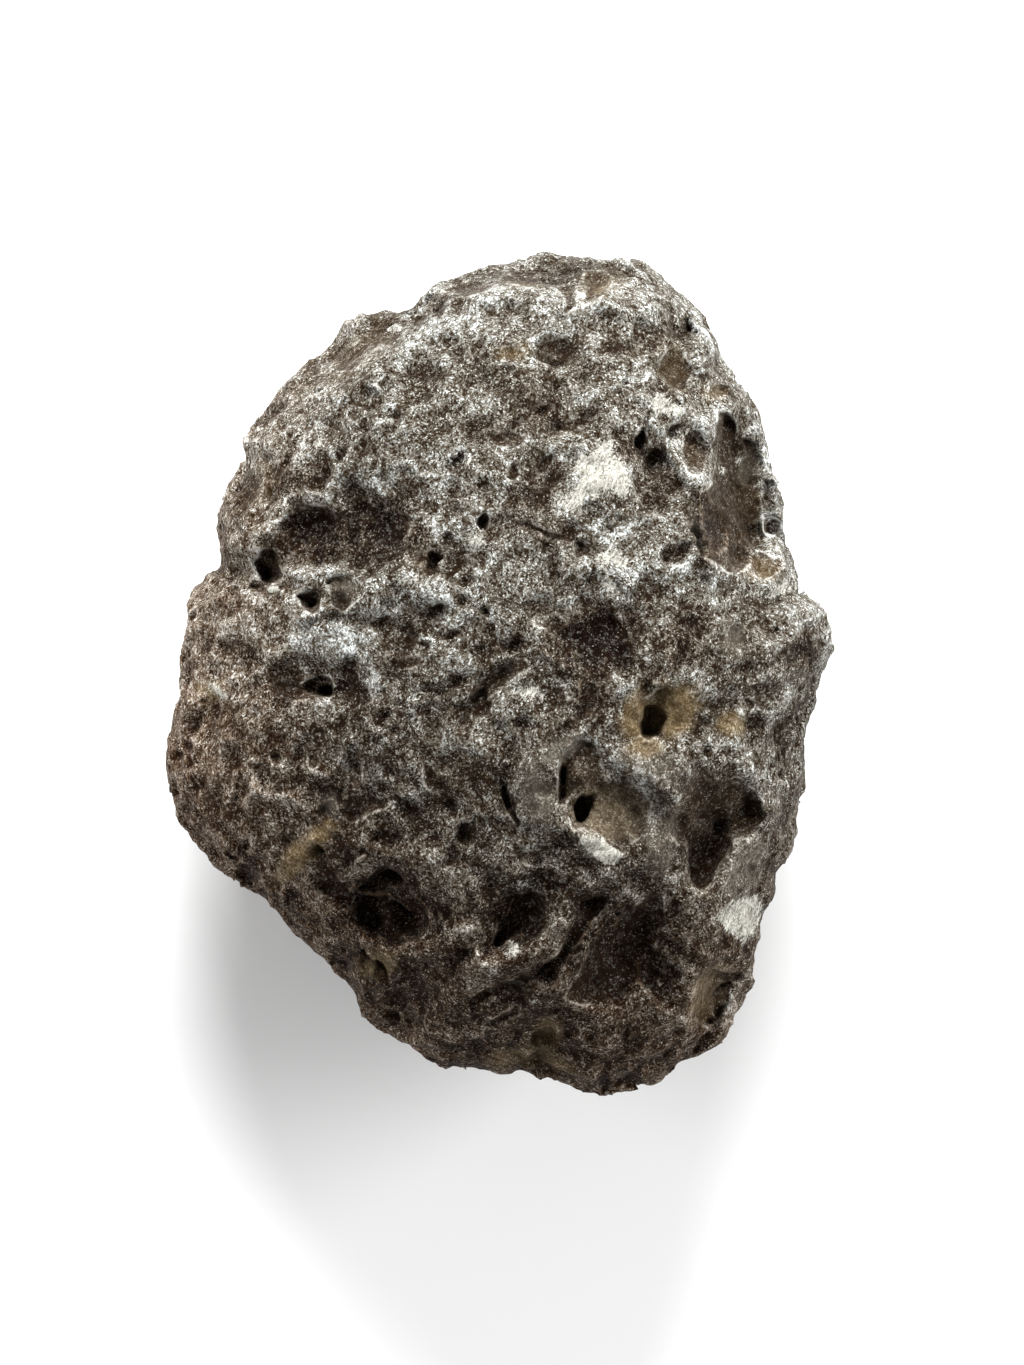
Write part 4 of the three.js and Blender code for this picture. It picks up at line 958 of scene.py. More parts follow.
class Skin:
    """The stone's surface as a field of distances on a block of samples."""

    def __init__(self, settings):
        self.rest = settings.rest_depth / MM
        self.pebble = Pebble(settings.crown / MM, settings.keel / MM)
        reach = np.abs(np.array(OUTLINE)).max(0) + SIDE_ROOM
        low = (-reach[0], -reach[1], -self.rest - LOW_ROOM)
        high = (reach[0], reach[1], self.pebble.crown + HIGH_ROOM)
        self.block = Block(low, high, settings.skin_step / MM)
        self.relief = Relief(self.block)
        self.grow()
        self.dig_holes()
        self.etch()
        self.field = np.maximum(self.field, -self.rest - self.block.z)

    def grow(self):
        """The pebble with its relief, dimples and feet."""
        x, y, z = self.block.x, self.block.y, self.block.z
        field = self.pebble(x, y, z).astype(np.float32)
        rise = (z - self.pebble.girdle(x, y)).astype(np.float32)
        field += self.relief.sunk[:, :, None] * smoothstep(rise, -1.5, 2.5)
        field -= swell(x, y, z) * smoothstep(-rise, 0.5, 8)
        for centre, radius in spread_dimples(self.pebble):
            cut = self.block.around(centre, radius + DIMPLE_LIP)
            squares = [(axis - c) ** 2 for axis, c in zip(self.block.part(cut), centre)]
            away = np.sqrt(squares[0] + squares[1] + squares[2])
            field[cut] = smooth_max(field[cut], radius - away, DIMPLE_LIP)
        for cx, cy, radius, drop in FEET:
            away = np.sqrt((x - cx) ** 2 + (y - cy) ** 2 + (z + drop) ** 2)
            field = -smooth_max(-field, radius - away, FOOT_FLARE)
        self.field = field

    def top(self, x, y):
        """The place on the upper face over a place in plan."""
        block = self.block
        i = int(round((x - block.axes[0][0]) / block.step))
        j = int(round((y - block.axes[1][0]) / block.step))
        column = self.field[i, j]
        k = int(np.nonzero(column < 0)[0].max())
        share = column[k] / (column[k] - column[k + 1])
        return np.array((x, y, block.axes[2][k] + share * block.step))

    def surface(self, way):
        """Where a ray from the middle leaves the stone."""
        way = way / np.linalg.norm(way)
        points = way * np.arange(6, 36, self.block.step * 0.5)[:, None]
        high = self.block.low + np.array(self.field.shape) * self.block.step
        inside = ((points > self.block.low) & (points < high - self.block.step)).all(1)
        points = points[inside]
        return points[np.nonzero(self.at(self.field, points) < 0)[0].max()]

    def dig(self, place, a, b, depth, turn, lean=(0, 0)):
        """Cuts one uneven hole, square to the surface around it."""
        up = self.pebble.facing(place)
        c, s = math.cos(math.radians(turn)), math.sin(math.radians(turn))
        side = np.array((c, s, 0)) - up * np.dot(up, (c, s, 0))
        side /= np.linalg.norm(side)
        across = np.cross(up, side)
        cut = self.block.around(place, max(a, b, depth) + 0.6)
        ease = min(1, min(a, b) / 0.5)
        px, py, pz = (
            axis + ease * warp[cut] - p
            for axis, warp, p in zip(self.block.part(cut), self.warp, place))
        px = px + lean[0] * pz / depth
        py = py + lean[1] * pz / depth
        scaled = squared = 0
        for way, size in zip((side, across, up), (a, b, depth)):
            q = (px * way[0] + py * way[1] + pz * way[2]) / size
            scaled = scaled + q * q
            squared = squared + (q / size) ** 2
        scaled = np.sqrt(scaled)
        distance = scaled * (scaled - 1) / np.maximum(np.sqrt(squared), 1e-6)
        self.field[cut] = smooth_max(self.field[cut], -distance, HOLE_EDGE)

    def dig_holes(self):
        """The named holes, small pores over the face, and pits around the sides and below."""
        drift = self.block.drift
        self.warp = [0.08 * drift(0.8, 21 + i) + 0.1 * drift(0.4, 31 + i) for i in range(3)]
        for x, y, a, b, depth, turn, *lean in HOLES:
            self.dig(self.top(x, y), a, b, depth, turn, lean)
        rng = np.random.default_rng(61)
        for count, heights, (least, most), length, deep in (PORES, SIDE_PITS):
            for _, way in spiral(count, heights):
                place = self.surface(way + rng.normal(0, 0.06, 3))
                size = least + (most - least) * rng.random() ** 2
                shape = size * rng.uniform(1.0, length), size, size * rng.uniform(0.5, deep)
                self.dig(place, *shape, rng.uniform(0, 180))

    def etch(self):
        """Scallops of several sizes all over, in a thin layer around the surface."""
        block = self.block
        near = np.nonzero(np.abs(self.field) < ETCHED_LAYER)
        points = np.stack([axis[i] for axis, i in zip(block.axes, near)], 1)
        points = points + np.stack([0.3 * block.drift(1.5, 41 + i)[near] for i in range(3)], 1)
        lost = hollow = 0
        for cell, seed, depth, share in SCALLOPS:
            scooped = scallops(points, cell, seed)
            lost = lost + depth * scooped
            hollow = hollow + share * scooped
        self.field[near] += lost - SCALLOPS_MEAN
        self.cupped = np.zeros_like(self.field)
        self.cupped[near] = hollow

    def nearby_glass(self, radius):
        """Share of glass near each sample: over half in a hollow, under half on a ridge."""
        share = np.clip(0.5 - self.field / self.block.step, 0, 1)
        reach = max(int(round(radius / self.block.step * 0.6)), 1)
        for axis in (0, 1, 2, 0, 1, 2):
            share = box_blur(share, reach, axis)
        return share

    def at(self, values, points):
        """Values of the block's samples at points between them."""
        place = (points - self.block.low) / self.block.step
        home = np.clip(place.astype(int), 0, np.array(values.shape) - 2)
        total = 0
        for corner, weight in corner_weights((place - home).astype(np.float32)):
            total = total + weight * values[tuple((home + corner).T)]
        return total

    def facing_up(self, blurred, points, reach=1.0):
        """How far the smoothed surface faces up: 1 on top of the stone, 0 on an upright side."""
        falls = [self.at(blurred, points - way) - self.at(blurred, points + way)
                 for way in np.eye(3) * reach]
        return falls[2] / np.linalg.norm(falls, axis=0)

    def mesh(self):
        """Points in millimetres and four-sided faces of the surface."""
        grid = openvdb.FloatGrid(background=1.0)
        grid.copyFromArray(self.field)
        points, quads = grid.convertToQuads(isovalue=0.0)
        return points * self.block.step + self.block.low, quads[:, ::-1]


def keep_largest(points, quads):
    """Drops any loose shells, such as bubbles inside."""
    label = np.arange(len(points))
    while True:
        lowest = label[quads].min(1)
        fresh = label.copy()
        for corner in range(4):
            np.minimum.at(fresh, quads[:, corner], lowest)
        fresh = fresh[fresh]
        if (fresh == label).all():
            break
        label = fresh
    names, counts = np.unique(label, return_counts=True)
    stay = label == names[counts.argmax()]
    number = np.cumsum(stay) - 1
    return points[stay], number[quads[stay[quads].all(1)]]


# ------------------------------------------------------------------ masks for the finish


def patches(points, table):
    """Soft ragged ellipses in plan: the strongest at each point, and their sum."""
    rng = np.random.default_rng(71)
    ragged = grain(points, 0.7, rng) * 0.25 + grain(points, 0.25, rng) * 0.15
    most = np.zeros(len(points), np.float32)
    added = np.zeros(len(points), np.float32)
    for cx, cy, a, b, turn, strength in table:
        u, v = turned(points[:, 0] - cx, points[:, 1] - cy, turn)
        here = strength * smoothstep(1.25 - np.hypot(u / a, v / b) + ragged, 0.0, 0.8)
        most = np.maximum(most, here)
        added += here
    return most, added


def bruised(points):
    """Depth inside the milky bruises in millimetres, below 0 outside them."""
    depth = np.full(len(points), -1, np.float32)
    for strength, *edge in BRUISES:
        corners = np.array(edge)
        near = ((points[:, :2] > corners.min(0) - 1) & (points[:, :2] < corners.max(0) + 1)).all(1)
        inside = depth_inside(points[near, 0], points[near, 1], edge) * max(strength, 1) ** 2
        inside += (min(strength, 1.3) - 1) * 0.4
        depth[near] = np.maximum(depth[near], inside)
    return depth


def paint(skin, points):
    """The masks that the finish is mixed by, one value for each point."""
    close, wide, broad = (skin.nearby_glass(radius) for radius in (CLOSE, WIDE, BROAD))
    rise = points[:, 2] - skin.pebble.girdle(points[:, 0], points[:, 1])
    upper = smoothstep(rise, -1.0, 1.0)
    facing = skin.facing_up(broad, points)
    tinted = upper * smoothstep(facing, 0.2, 0.5)
    frosted = upper * smoothstep(facing, 0.0, 0.25)
    relief = skin.relief
    worn = 0.7 * relief.at(relief.bare, points)
    return {
        "crest": smoothstep(0.5 - skin.at(close, points), -0.02, 0.16),
        "hollow": smoothstep(skin.at(wide, points) - 0.5, -0.06, 0.22),
        "valley": smoothstep(skin.at(broad, points) - 0.45, -0.08, 0.22),
        "cup": smoothstep(skin.at(skin.cupped, points), 0.3, 0.85),
        "basin": relief.at(relief.basin, points) * upper - (1 - upper),
        "edge": relief.at(relief.edge, points) * upper + (1 - upper),
        "bruise": bruised(points) * upper - (1 - upper),
        "amber": patches(points, AMBERS)[0] * tinted,
        "satin": patches(points, SATINS)[0] * tinted,
        # The frost mask carries the frost table's painted light and shade along with the frost
        # itself.
        "frost": (patches(points, FROST_AND_SHADE)[1] - worn) * frosted,
    }


def make_stone(settings):
    """The stone's object, with its masks, in the frame's place."""
    skin = Skin(settings)
    points, quads = keep_largest(*skin.mesh())
    masks = paint(skin, points)
    middle = (points.min(0) + points.max(0)) / 2
    goal = (CAD_LOW + CAD_HIGH) / 2 / MM
    points = points + (goal[0] - middle[0], goal[1] - middle[1], skin.rest)
    mesh = bpy.data.meshes.new("stone")
    mesh.from_pydata((points * MM).tolist(), [], quads.tolist())
    for name, values in masks.items():
        mesh.attributes.new(name, "FLOAT", "POINT").data.foreach_set("value", values)
    stone = bpy.data.objects.new("stone", mesh)
    bpy.context.collection.objects.link(stone)
    thin_out(stone)
    return stone


def thin_out(stone):
    """Merges points where the surface is flatter, down to a number of triangles."""
    stone.data.calc_loop_triangles()
    thin = stone.modifiers.new("thin", "DECIMATE")
    thin.ratio = min(1, MOST_TRIANGLES / len(stone.data.loop_triangles))
    bpy.context.view_layer.objects.active = stone
    bpy.ops.object.modifier_apply(modifier=thin.name)
    stone.data.shade_smooth()


# ------------------------------------------------------------------ sizes and colours to change


def length(name, description, default):
    return FloatProperty(name=name, description=description, default=default, unit="LENGTH")


def power(name, description, default):
    return FloatProperty(name=name, description=description, default=default, unit="POWER")


def tint(name, description, *default):
    return FloatVectorProperty(
        name=name, description=description, default=default, subtype="COLOR", min=0, max=1)


class StoneSettings(bpy.types.PropertyGroup):
    crown: length("Crown", "Height of the dome over the girdle", 0.0156)
    keel: length("Keel", "Depth of the round underside below the girdle", 0.0134)
    rest_depth: length("Rest depth", "Depth below the girdle of the surface it rests on", 0.0132)
    skin_step: length("Skin step", "Distance between the samples of the surface", 0.00021)


class FinishSettings(bpy.types.PropertyGroup):
    glass: tint("Glass", "Bare glass with no frost on it", 0.012, 0.0055, 0.0022)
    frost: tint("Frost", "The thickest frost", 0.85, 0.835, 0.79)
    # Pale rims: worn frost with a painted highlight along the edges.
    rim: tint("Rims", "The worn rims of the basins", 0.46, 0.42, 0.36)
    # Painted glints, and the bright flecks of the frost.
    glint: tint("Glints", "Chips and flecks that catch the light", 0.50, 0.49, 0.445)
    floor_dark: tint("Floors, dark", "Dark parts of the basins' floors", 0.044, 0.030, 0.018)
    floor_pale: tint("Floors, pale", "Pale parts of the basins' floors", 0.21, 0.168, 0.118)
    satin_dark: tint("Satin, dark", "Dark parts of the satin patches", 0.062, 0.053, 0.040)
    satin_pale: tint("Satin, pale", "Pale parts of the satin patches", 0.26, 0.235, 0.195)
    amber_dark: tint("Amber, dark", "Dark parts of the thin amber glass", 0.095, 0.060, 0.025)
    amber_pale: tint("Amber, pale", "Pale parts of the thin amber glass", 0.42, 0.335, 0.20)
    milk_dark: tint("Milk, dark", "Dark fibres of the crushed glass", 0.12, 0.11, 0.088)
    milk_pale: tint("Milk, pale", "Pale fibres of the crushed glass", 0.59, 0.583, 0.522)


class StageSettings(bpy.types.PropertyGroup):
    floor_size: length("Floor size", "Length of each side of the floor", 4.0)
    floor_tint: tint("Floor", "Colour of the floor", 0.9, 0.9, 0.9)
    top_power: power("Top window", "Power of the light over the top end", 20.0)
    left_power: power("Left window", "Power of the light on the left", 4.5)
    right_power: power("Right window", "Power of the light on the right", 8.5)
    room: FloatProperty(
        name="Room", description="Strength of the light from all around", default=0.36)


# ------------------------------------------------------------------ the finish

CHIPS_PER_MM = 5.2
GRITS_PER_MM = 9.0
HALF = (0.5, 0.5, 0.5)

# Colours between bare glass and the thickest frost, each at its share of frost.
BARE_AT = 0.15
THICK_AT = 0.97
THIN_FROST = (
    (0.30, (0.038, 0.024, 0.012, 1)), (0.48, (0.115, 0.095, 0.072, 1)),
    (0.64, (0.236, 0.215, 0.180, 1)), (0.83, (0.475, 0.47, 0.437, 1)),
)
COOL_CAST = (0.93, 1.0, 1.06, 1)
WARM_CAST = (1.22, 1.0, 0.85, 1)
SHADE_CAST = (0.38, 0.28, 0.20, 1)
GIRDLE_REACH = (21.3, 26.8)
# Painted warm light: the side, lower left, towards which the warm cast grows.
WARM_LIGHT_SIDE = (-0.35, -0.35, 0.0)
FIBRE_TURN = math.radians(62)
FIBRE_STRETCH = (5.0, 0.8, 2.0)


class NodePen:
    """Adds the nodes of one material and links them."""

    def __init__(self, name):
        self.material = bpy.data.materials.new(name)
        self.material.use_nodes = True
        self.tree = self.material.node_tree
        self.tree.nodes.clear()

    def plug(self, socket, value):
        """Links one socket to another, or sets its value."""
        if isinstance(value, bpy.types.NodeSocket):
            self.tree.links.new(value, socket)
        else:
            socket.default_value = value

    def node(self, kind, **values):
        """Adds a node; names with an underscore first set its properties, others its inputs."""
        made = self.tree.nodes.new(kind)
        for key, value in values.items():
            if key.startswith("_"):
                setattr(made, key[1:], value)
            else:
                self.plug(made.inputs[key.replace("_", " ")], value)
        return made

    def surface(self, **values):
        """Adds the shader and gives it to the material."""
        shader = self.node("ShaderNodeBsdfPrincipled", **values)
        self.node("ShaderNodeOutputMaterial", Surface=shader.outputs[0])

    def math(self, kind, *values):
        made = self.node("ShaderNodeMath", _operation=kind)
        for socket, value in zip(made.inputs, values):
            self.plug(socket, value)
        return made.outputs[0]

    def vector(self, kind, *values, out=0):
        made = self.node("ShaderNodeVectorMath", _operation=kind)
        for socket, value in zip(made.inputs, values):
            self.plug(socket, value)
        return made.outputs[out]

    def times(self, a, b):
        return self.math("MULTIPLY", a, b)

    def total(self, *parts):
        """Adds up values, each with its own share."""
        result = 0.0
        for value, share in parts:
            result = self.math("MULTIPLY_ADD", value, share, result)
        return result

    def ramp(self, value, low, high, to_low=0.0, to_high=1.0):
        """Stretches the values between two limits, and holds them there."""
        made = self.node("ShaderNodeMapRange", Value=value, From_Min=low, From_Max=high,
                         To_Min=to_low, To_Max=to_high)
        return made.outputs["Result"]

    def swing(self, value):
        """Stretches the values of a noise to about half above and below 0."""
        return self.ramp(value, 0.3, 0.7, -0.5, 0.5)

    def blend(self, share, a, b, kind="MIX"):
        made = self.node("ShaderNodeMix", _data_type="RGBA", _blend_type=kind)
        for socket, value in zip((made.inputs[0], made.inputs[6], made.inputs[7]), (share, a, b)):
            self.plug(socket, value)
        return made.outputs[2]

    def mask(self, name):
        return self.node("ShaderNodeAttribute", _attribute_name=name).outputs["Fac"]

    def noise(self, vector, per_mm, detail=2.0, rough=0.6, out="Fac"):
        made = self.node("ShaderNodeTexNoise", Vector=vector, Scale=per_mm, Detail=detail,
                         Roughness=rough)
        return made.outputs[out]


class FrostedGlass(NodePen):
    """Dark glass under a coat of frost, mixed by the masks on the stone."""

    def __init__(self, tints):
        super().__init__(SLOT)
        self.tints = tints
        self.spread_grain()
        self.read_masks()
        frost = self.frost_amount()
        colour = self.frost_colour(frost)
        colour = self.worn_floors(colour)
        colour = self.shaded(colour)
        colour = self.with_glints(colour)
        colour = self.satin_and_amber(colour)
        colour = self.bruised(colour)
        bump = self.node("ShaderNodeBump", Strength=0.7, Distance=0.001, Height=self.total(
            (self.crumb, 0.30), (self.chip_height, 0.25), (self.grit_height, 0.3),
            (self.fine, 0.04)))
        self.surface(Base_Color=colour, Roughness=self.ramp(self.grit, 0.0, 1.0, 0.5, 0.75),
                     Normal=bump.outputs["Normal"], IOR=1.5, Specular_IOR_Level=0.03)

    def tint(self, name):
        return (*getattr(self.tints, name), 1)

    def tones(self, name, value, low, high):
        """From the dark to the pale tone of one kind of glass."""
        share = self.ramp(value, low, high)
        return self.blend(share, self.tint(name + "_dark"), self.tint(name + "_pale"))

    def stir(self, vector, per_mm, detail, reach):
        """Moves coordinates about at random, so that patterns laid on them look natural."""
        drift = self.noise(self.flat, per_mm, detail, out="Color")
        drift = self.vector("SUBTRACT", drift, HALF)
        return self.vector("MULTIPLY_ADD", drift, (reach, reach, reach), vector)

    def facets(self, per_mm):
        """Small flat chips: a random tone for each, the height of its tilt, and its reach."""
        cells = self.node("ShaderNodeTexVoronoi", Vector=self.stirred, Scale=per_mm)
        tone = cells.outputs["Color"]
        away = self.vector("SUBTRACT", self.stirred, cells.outputs["Position"])
        tilt = self.vector("SUBTRACT", tone, HALF)
        height = self.vector("DOT_PRODUCT", away, tilt, out=1)
        value = self.node("ShaderNodeSeparateColor", Color=tone)
        return value.outputs[1], height, cells.outputs["Distance"]

    def network(self, per_mm, width):
        """Thin bright lines that join up around small dark cells."""
        cells = self.node("ShaderNodeTexVoronoi", _feature="DISTANCE_TO_EDGE",
                          Vector=self.churned, Scale=per_mm)
        return self.ramp(cells.outputs["Distance"], width, 0.0)

    def spread_grain(self):
        """The small patterns that every part of the finish is made of, in millimetres."""
        place = self.node("ShaderNodeTexCoord").outputs["Object"]
        scale = self.node("ShaderNodeVectorMath", _operation="SCALE", Scale=1 / MM)
        self.plug(scale.inputs[0], place)
        self.flat = scale.outputs[0]
        self.stirred = self.stir(self.flat, 1.2, 1.0, 0.45)
        self.churned = self.stir(self.stirred, 3.6, 2.0, 0.25)
        self.chip, self.chip_height, _ = self.facets(CHIPS_PER_MM)
        self.grit, self.grit_height, grit_away = self.facets(GRITS_PER_MM)
        self.crumb = self.noise(self.flat, 1.4, 8.0, 0.8)
        self.haze = self.noise(self.flat, 0.35, 4.0, 0.65)
        self.fine = self.noise(self.stirred, 7.0, 3.0, 0.75)
        # Painted glints: sparse bright points in the colour that stand in for sparkles of light.
        self.spark = self.times(self.ramp(self.grit, 0.90, 0.95), self.ramp(grit_away, 0.45, 0.3))
        net = self.math("MAXIMUM", self.times(self.network(1.4, 0.07), 0.45),
                        self.times(self.network(3.3, 0.12), 0.35))
        flecks = self.ramp(self.noise(self.churned, 9.0, 2.0, 0.7), 0.54, 0.68)
        crowd = self.ramp(self.noise(self.churned, 1.3, 3.0, 0.7), 0.34, 0.58)
        self.lace = self.times(self.math("ADD", net, flecks), crowd)
        self.tone = self.total(
            (self.grit, 0.38), (self.chip, 0.20), (self.ramp(self.fine, 0.3, 0.7), 0.30),
            (self.lace, 0.44), (self.spark, 0.2))
        self.calm = self.total((self.crumb, 0.5), (self.tone, 0.35))

    def read_masks(self):
        """What is painted on the stone, with ragged borders for basins and their rims."""
        self.crest, self.hollow, self.valley = (
            self.mask(name) for name in ("crest", "hollow", "valley"))
        self.cover_and_shade = self.mask("frost")
        wander = self.swing(self.fine)
        self.basin = self.math("ADD", self.mask("basin"), self.times(wander, 0.12))
        self.floor = self.ramp(self.basin, -0.05, 0.15)
        # Pale rims along the basins and drawn edges: worn frost with a painted highlight where the
        # edge catches the light.
        edge = self.math("ADD", self.mask("edge"), self.times(wander, 0.22))
        rim = self.ramp(self.math("ABSOLUTE", self.basin), 0.10, 0.03)
        line = self.math("MAXIMUM", self.ramp(edge, 0.17, 0.04), rim)
        line = self.times(line, self.ramp(self.noise(self.flat, 0.7, 3.0), 0.42, 0.6, 0.1, 1.0))
        self.line = self.times(line, self.ramp(self.crest, 0.0, 0.4, 0.15, 1.0))
        # Painted shade: darker and browner towards the lower end, where less of the top light
        # falls.
        split = self.node("ShaderNodeSeparateXYZ", Vector=self.flat)
        self.low_end_shade = self.ramp(split.outputs["Y"], 2.0, -16.0)

    def frost_amount(self):
        """How thick the frost lies, from 0 for bare glass to 1: less in the hollows, valleys, cups
        and basins' floors, partly as thinner frost and partly as painted shade, less towards the
        lower end as painted shade, and more along the rims, partly as a painted highlight.
        """
        cup = self.ramp(self.mask("cup"), 0.0, 1.0, 0.5, -0.5)
        # Painted shade darkens the hollows, valleys, cups and basins' floors, beside the thinner
        # frost there; the rims get a painted highlight.
        level = self.total(
            (self.cover_and_shade, 0.16), (self.crest, 0.07), (self.hollow, -0.09), (self.valley, -0.15),
            (self.floor, -0.04), (self.line, 0.24), (cup, 0.08), (self.swing(self.haze), 0.37),
            (self.swing(self.crumb), 0.10))
        amount = self.total((level, 1.0), (self.tone, 1.08), (self.low_end_shade, -0.16))
        return self.math("ADD", amount, -0.122)

    def frost_colour(self, frost):
        """From bare glass to white frost, warmer towards the thin edge of the stone: partly the
        glass's own brown at its thin edge, partly painted warm light, strongest on the lower left.
        """
        curve = self.node("ShaderNodeValToRGB", Fac=frost)
        stops = curve.color_ramp.elements
        stops[0].position, stops[0].color = BARE_AT, self.tint("glass")
        stops[1].position, stops[1].color = THICK_AT, self.tint("frost")
        for share, colour in THIN_FROST:
            stops.new(share).color = colour
        reach = (1 / GIRDLE_REACH[0], 1 / GIRDLE_REACH[1], 0.0)
        plan = self.vector("MULTIPLY", self.flat, reach)
        thin = self.total((self.vector("LENGTH", plan, out=1), 1.0),
                          (self.vector("DOT_PRODUCT", plan, WARM_LIGHT_SIDE, out=1), 1.0))
        warm = self.times(self.ramp(thin, 0.65, 1.35), self.ramp(frost, 0.8, 0.4, 0.35, 1.0))
        cast = self.blend(warm, COOL_CAST, WARM_CAST)
        return self.blend(1.0, curve.outputs[0], cast, "MULTIPLY")

    def worn_floors(self, colour):
        """Smoother bare glass in the basins, and pale rims around them: worn frost with a painted
        highlight along the edges.
        """
        bare = self.times(self.ramp(self.basin, 0.0, 0.3), 0.4)
        colour = self.blend(bare, colour, self.tones("floor", self.calm, 0.42, 0.7))
        return self.blend(self.times(self.line, 0.35), colour, self.tint("rim"))

    def shaded(self, colour):
        """Darker and browner where little frost hides the depth of the glass or the frost table
        paints shade, with painted shade also in the hollows, on the basins' floors and towards the
        lower end.
        """
        shade = self.total((self.ramp(self.cover_and_shade, 0.0, -1.2), 0.8), (self.hollow, 0.25),
                           (self.floor, 0.12), (self.low_end_shade, 0.45))
        return self.blend(shade, colour, self.blend(1.0, colour, SHADE_CAST, "MULTIPLY"))

    def with_glints(self, colour):
        # Painted glints from the sparks, together with the bright lace and chips of the frost,
        # drawn toward the glint tint.
        share = self.total((self.spark, 0.35), (self.ramp(self.lace, 0.35, 1.0), 0.20),
                           (self.ramp(self.chip, 0.8, 1.0), 0.08))
        return self.blend(share, colour, self.tint("glint"))

    def satin_and_amber(self, colour):
        """Satin patches with little grain, and thin glass that lets brown light through."""
        satin = self.times(self.mask("satin"), self.ramp(self.crumb, 0.3, 0.6, 1.0, 0.6))
        colour = self.blend(satin, colour, self.tones("satin", self.calm, 0.34, 0.7))
        amber = self.times(self.mask("amber"), 0.85)
        return self.blend(amber, colour, self.tones("amber", self.calm, 0.35, 0.7))

    def bruised(self, colour):
        """Milky crushed glass with fine fibres and ragged borders."""
        space = self.node("ShaderNodeMapping", _vector_type="TEXTURE", Vector=self.stirred,
                          Rotation=(0, 0, FIBRE_TURN), Scale=FIBRE_STRETCH)
        fibre = self.noise(space.outputs[0], 4.5, 4.0, 0.7)
        ragged = self.total((self.swing(fibre), 0.6), (self.swing(self.fine), 0.4))
        share = self.ramp(self.math("ADD", self.mask("bruise"), ragged), 0.02, 0.3)
        share = self.times(share, self.ramp(self.tone, 0.2, 0.5, 0.35, 0.95))
        strands = self.total((fibre, 0.6), (self.fine, 0.4))
        return self.blend(share, colour, self.tones("milk", strands, 0.38, 0.62))


# ------------------------------------------------------------------ floor, lights and camera

WINDOW_SIZE = 0.5
TOP_WINDOW = (0.0, 0.75, 0.42)
LEFT_WINDOW = (-0.75, 0.1, 0.3)
RIGHT_WINDOW = (0.75, 0.1, 0.3)

PICTURE_WIDTH = 1024
PICTURE_HEIGHT = 1365
PIXELS_PER_MM = 15.5
STONE_MIDDLE_PIXEL = (500, 673)
CAMERA_REACH = 1.5
SENSOR_MM = 36
NEAREST, FARTHEST = 0.01, 10


def make_floor(settings):
    bpy.ops.mesh.primitive_plane_add(size=settings.floor_size, location=(0, 0, 0))
    floor = bpy.context.object
    floor.name = "floor"
    pen = NodePen("pale_floor")
    pen.surface(Base_Color=(*settings.floor_tint, 1), Roughness=0.9)
    floor.data.materials.append(pen.material)


def make_window(name, place, watts):
    light = bpy.data.lights.new(name, "AREA")
    light.shape = "DISK"
    light.size = WINDOW_SIZE
    light.energy = watts
    lamp = bpy.data.objects.new(name, light)
    lamp.location = place
    aim = -lamp.location
    lamp.rotation_euler = aim.to_track_quat("-Z", "Y").to_euler()
    bpy.context.collection.objects.link(lamp)


def make_lights(settings):
    make_window("top_window", TOP_WINDOW, settings.top_power)
    make_window("left_window", LEFT_WINDOW, settings.left_power)
    make_window("right_window", RIGHT_WINDOW, settings.right_power)
    world = bpy.data.worlds.new("room")
    bpy.context.scene.world = world
    world.use_nodes = True
    background = world.node_tree.nodes["Background"]
    background.inputs["Color"].default_value = (1, 1, 1, 1)
    background.inputs["Strength"].default_value = settings.room


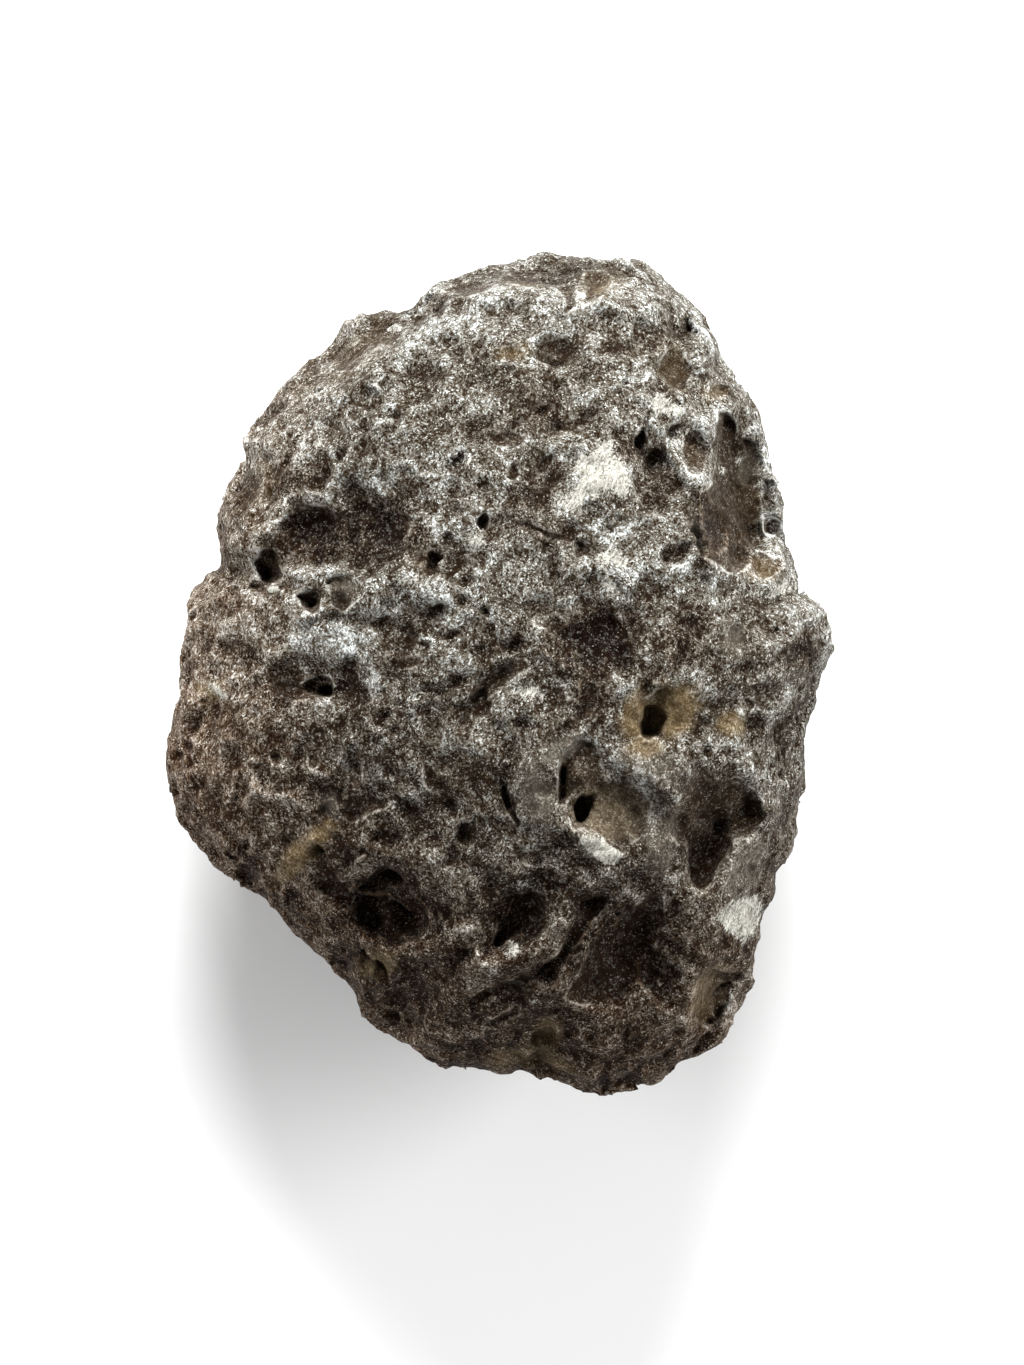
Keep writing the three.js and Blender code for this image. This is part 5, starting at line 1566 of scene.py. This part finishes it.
def make_camera(girdle_height):
    """A camera straight above, whose scale is true at the girdle's height."""
    data = bpy.data.cameras.new("camera")
    camera = bpy.data.objects.new("camera", data)
    bpy.context.collection.objects.link(camera)
    bpy.context.scene.camera = camera
    data.sensor_fit = "VERTICAL"
    data.sensor_height = SENSOR_MM
    data.sensor_width = SENSOR_MM
    view_height = PICTURE_HEIGHT / PIXELS_PER_MM * MM
    data.lens = SENSOR_MM * CAMERA_REACH / view_height
    x = (PICTURE_WIDTH / 2 - STONE_MIDDLE_PIXEL[0]) / PIXELS_PER_MM * MM
    y = (STONE_MIDDLE_PIXEL[1] - PICTURE_HEIGHT / 2) / PIXELS_PER_MM * MM
    camera.location = (x, y, girdle_height + CAMERA_REACH)
    data.clip_start = NEAREST
    data.clip_end = FARTHEST


# ------------------------------------------------------------------ the add-on


class TEKTITE_OT_stone(bpy.types.Operator):
    """Make the stone"""

    bl_idname = "tektite.stone"
    bl_label = "Make the stone"

    def execute(self, context):
        stone = make_stone(context.scene.tektite_stone)
        stone.data.materials.append(FrostedGlass(context.scene.tektite_finish).material)
        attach(stone, "root")
        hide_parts(NODE)
        return {"FINISHED"}


class TEKTITE_OT_stage(bpy.types.Operator):
    """Make the floor, the lights and the camera"""

    bl_idname = "tektite.stage"
    bl_label = "Make the stage"

    def execute(self, context):
        make_floor(context.scene.tektite_stage)
        make_lights(context.scene.tektite_stage)
        make_camera(context.scene.tektite_stone.rest_depth)
        return {"FINISHED"}


SETTINGS = {
    "tektite_stone": StoneSettings,
    "tektite_finish": FinishSettings,
    "tektite_stage": StageSettings,
}


class VIEW3D_PT_tektite(bpy.types.Panel):
    bl_label = "Tektite"
    bl_space_type = "VIEW_3D"
    bl_region_type = "UI"
    bl_category = "Tektite"

    def draw(self, context):
        for group, kind in SETTINGS.items():
            for name in kind.__annotations__:
                self.layout.prop(getattr(context.scene, group), name)
        self.layout.operator("tektite.stone")
        self.layout.operator("tektite.stage")


CLASSES = (*SETTINGS.values(), TEKTITE_OT_stone, TEKTITE_OT_stage, VIEW3D_PT_tektite)


def register():
    for kind in CLASSES:
        bpy.utils.register_class(kind)
    for group, kind in SETTINGS.items():
        setattr(bpy.types.Scene, group, PointerProperty(type=kind))


def unregister():
    for group in SETTINGS:
        delattr(bpy.types.Scene, group)
    for kind in reversed(CLASSES):
        bpy.utils.unregister_class(kind)


def main():
    register()
    bpy.context.scene.view_settings.view_transform = "Standard"
    bpy.ops.tektite.stone()
    bpy.ops.tektite.stage()


if __name__ == "__main__":
    main()
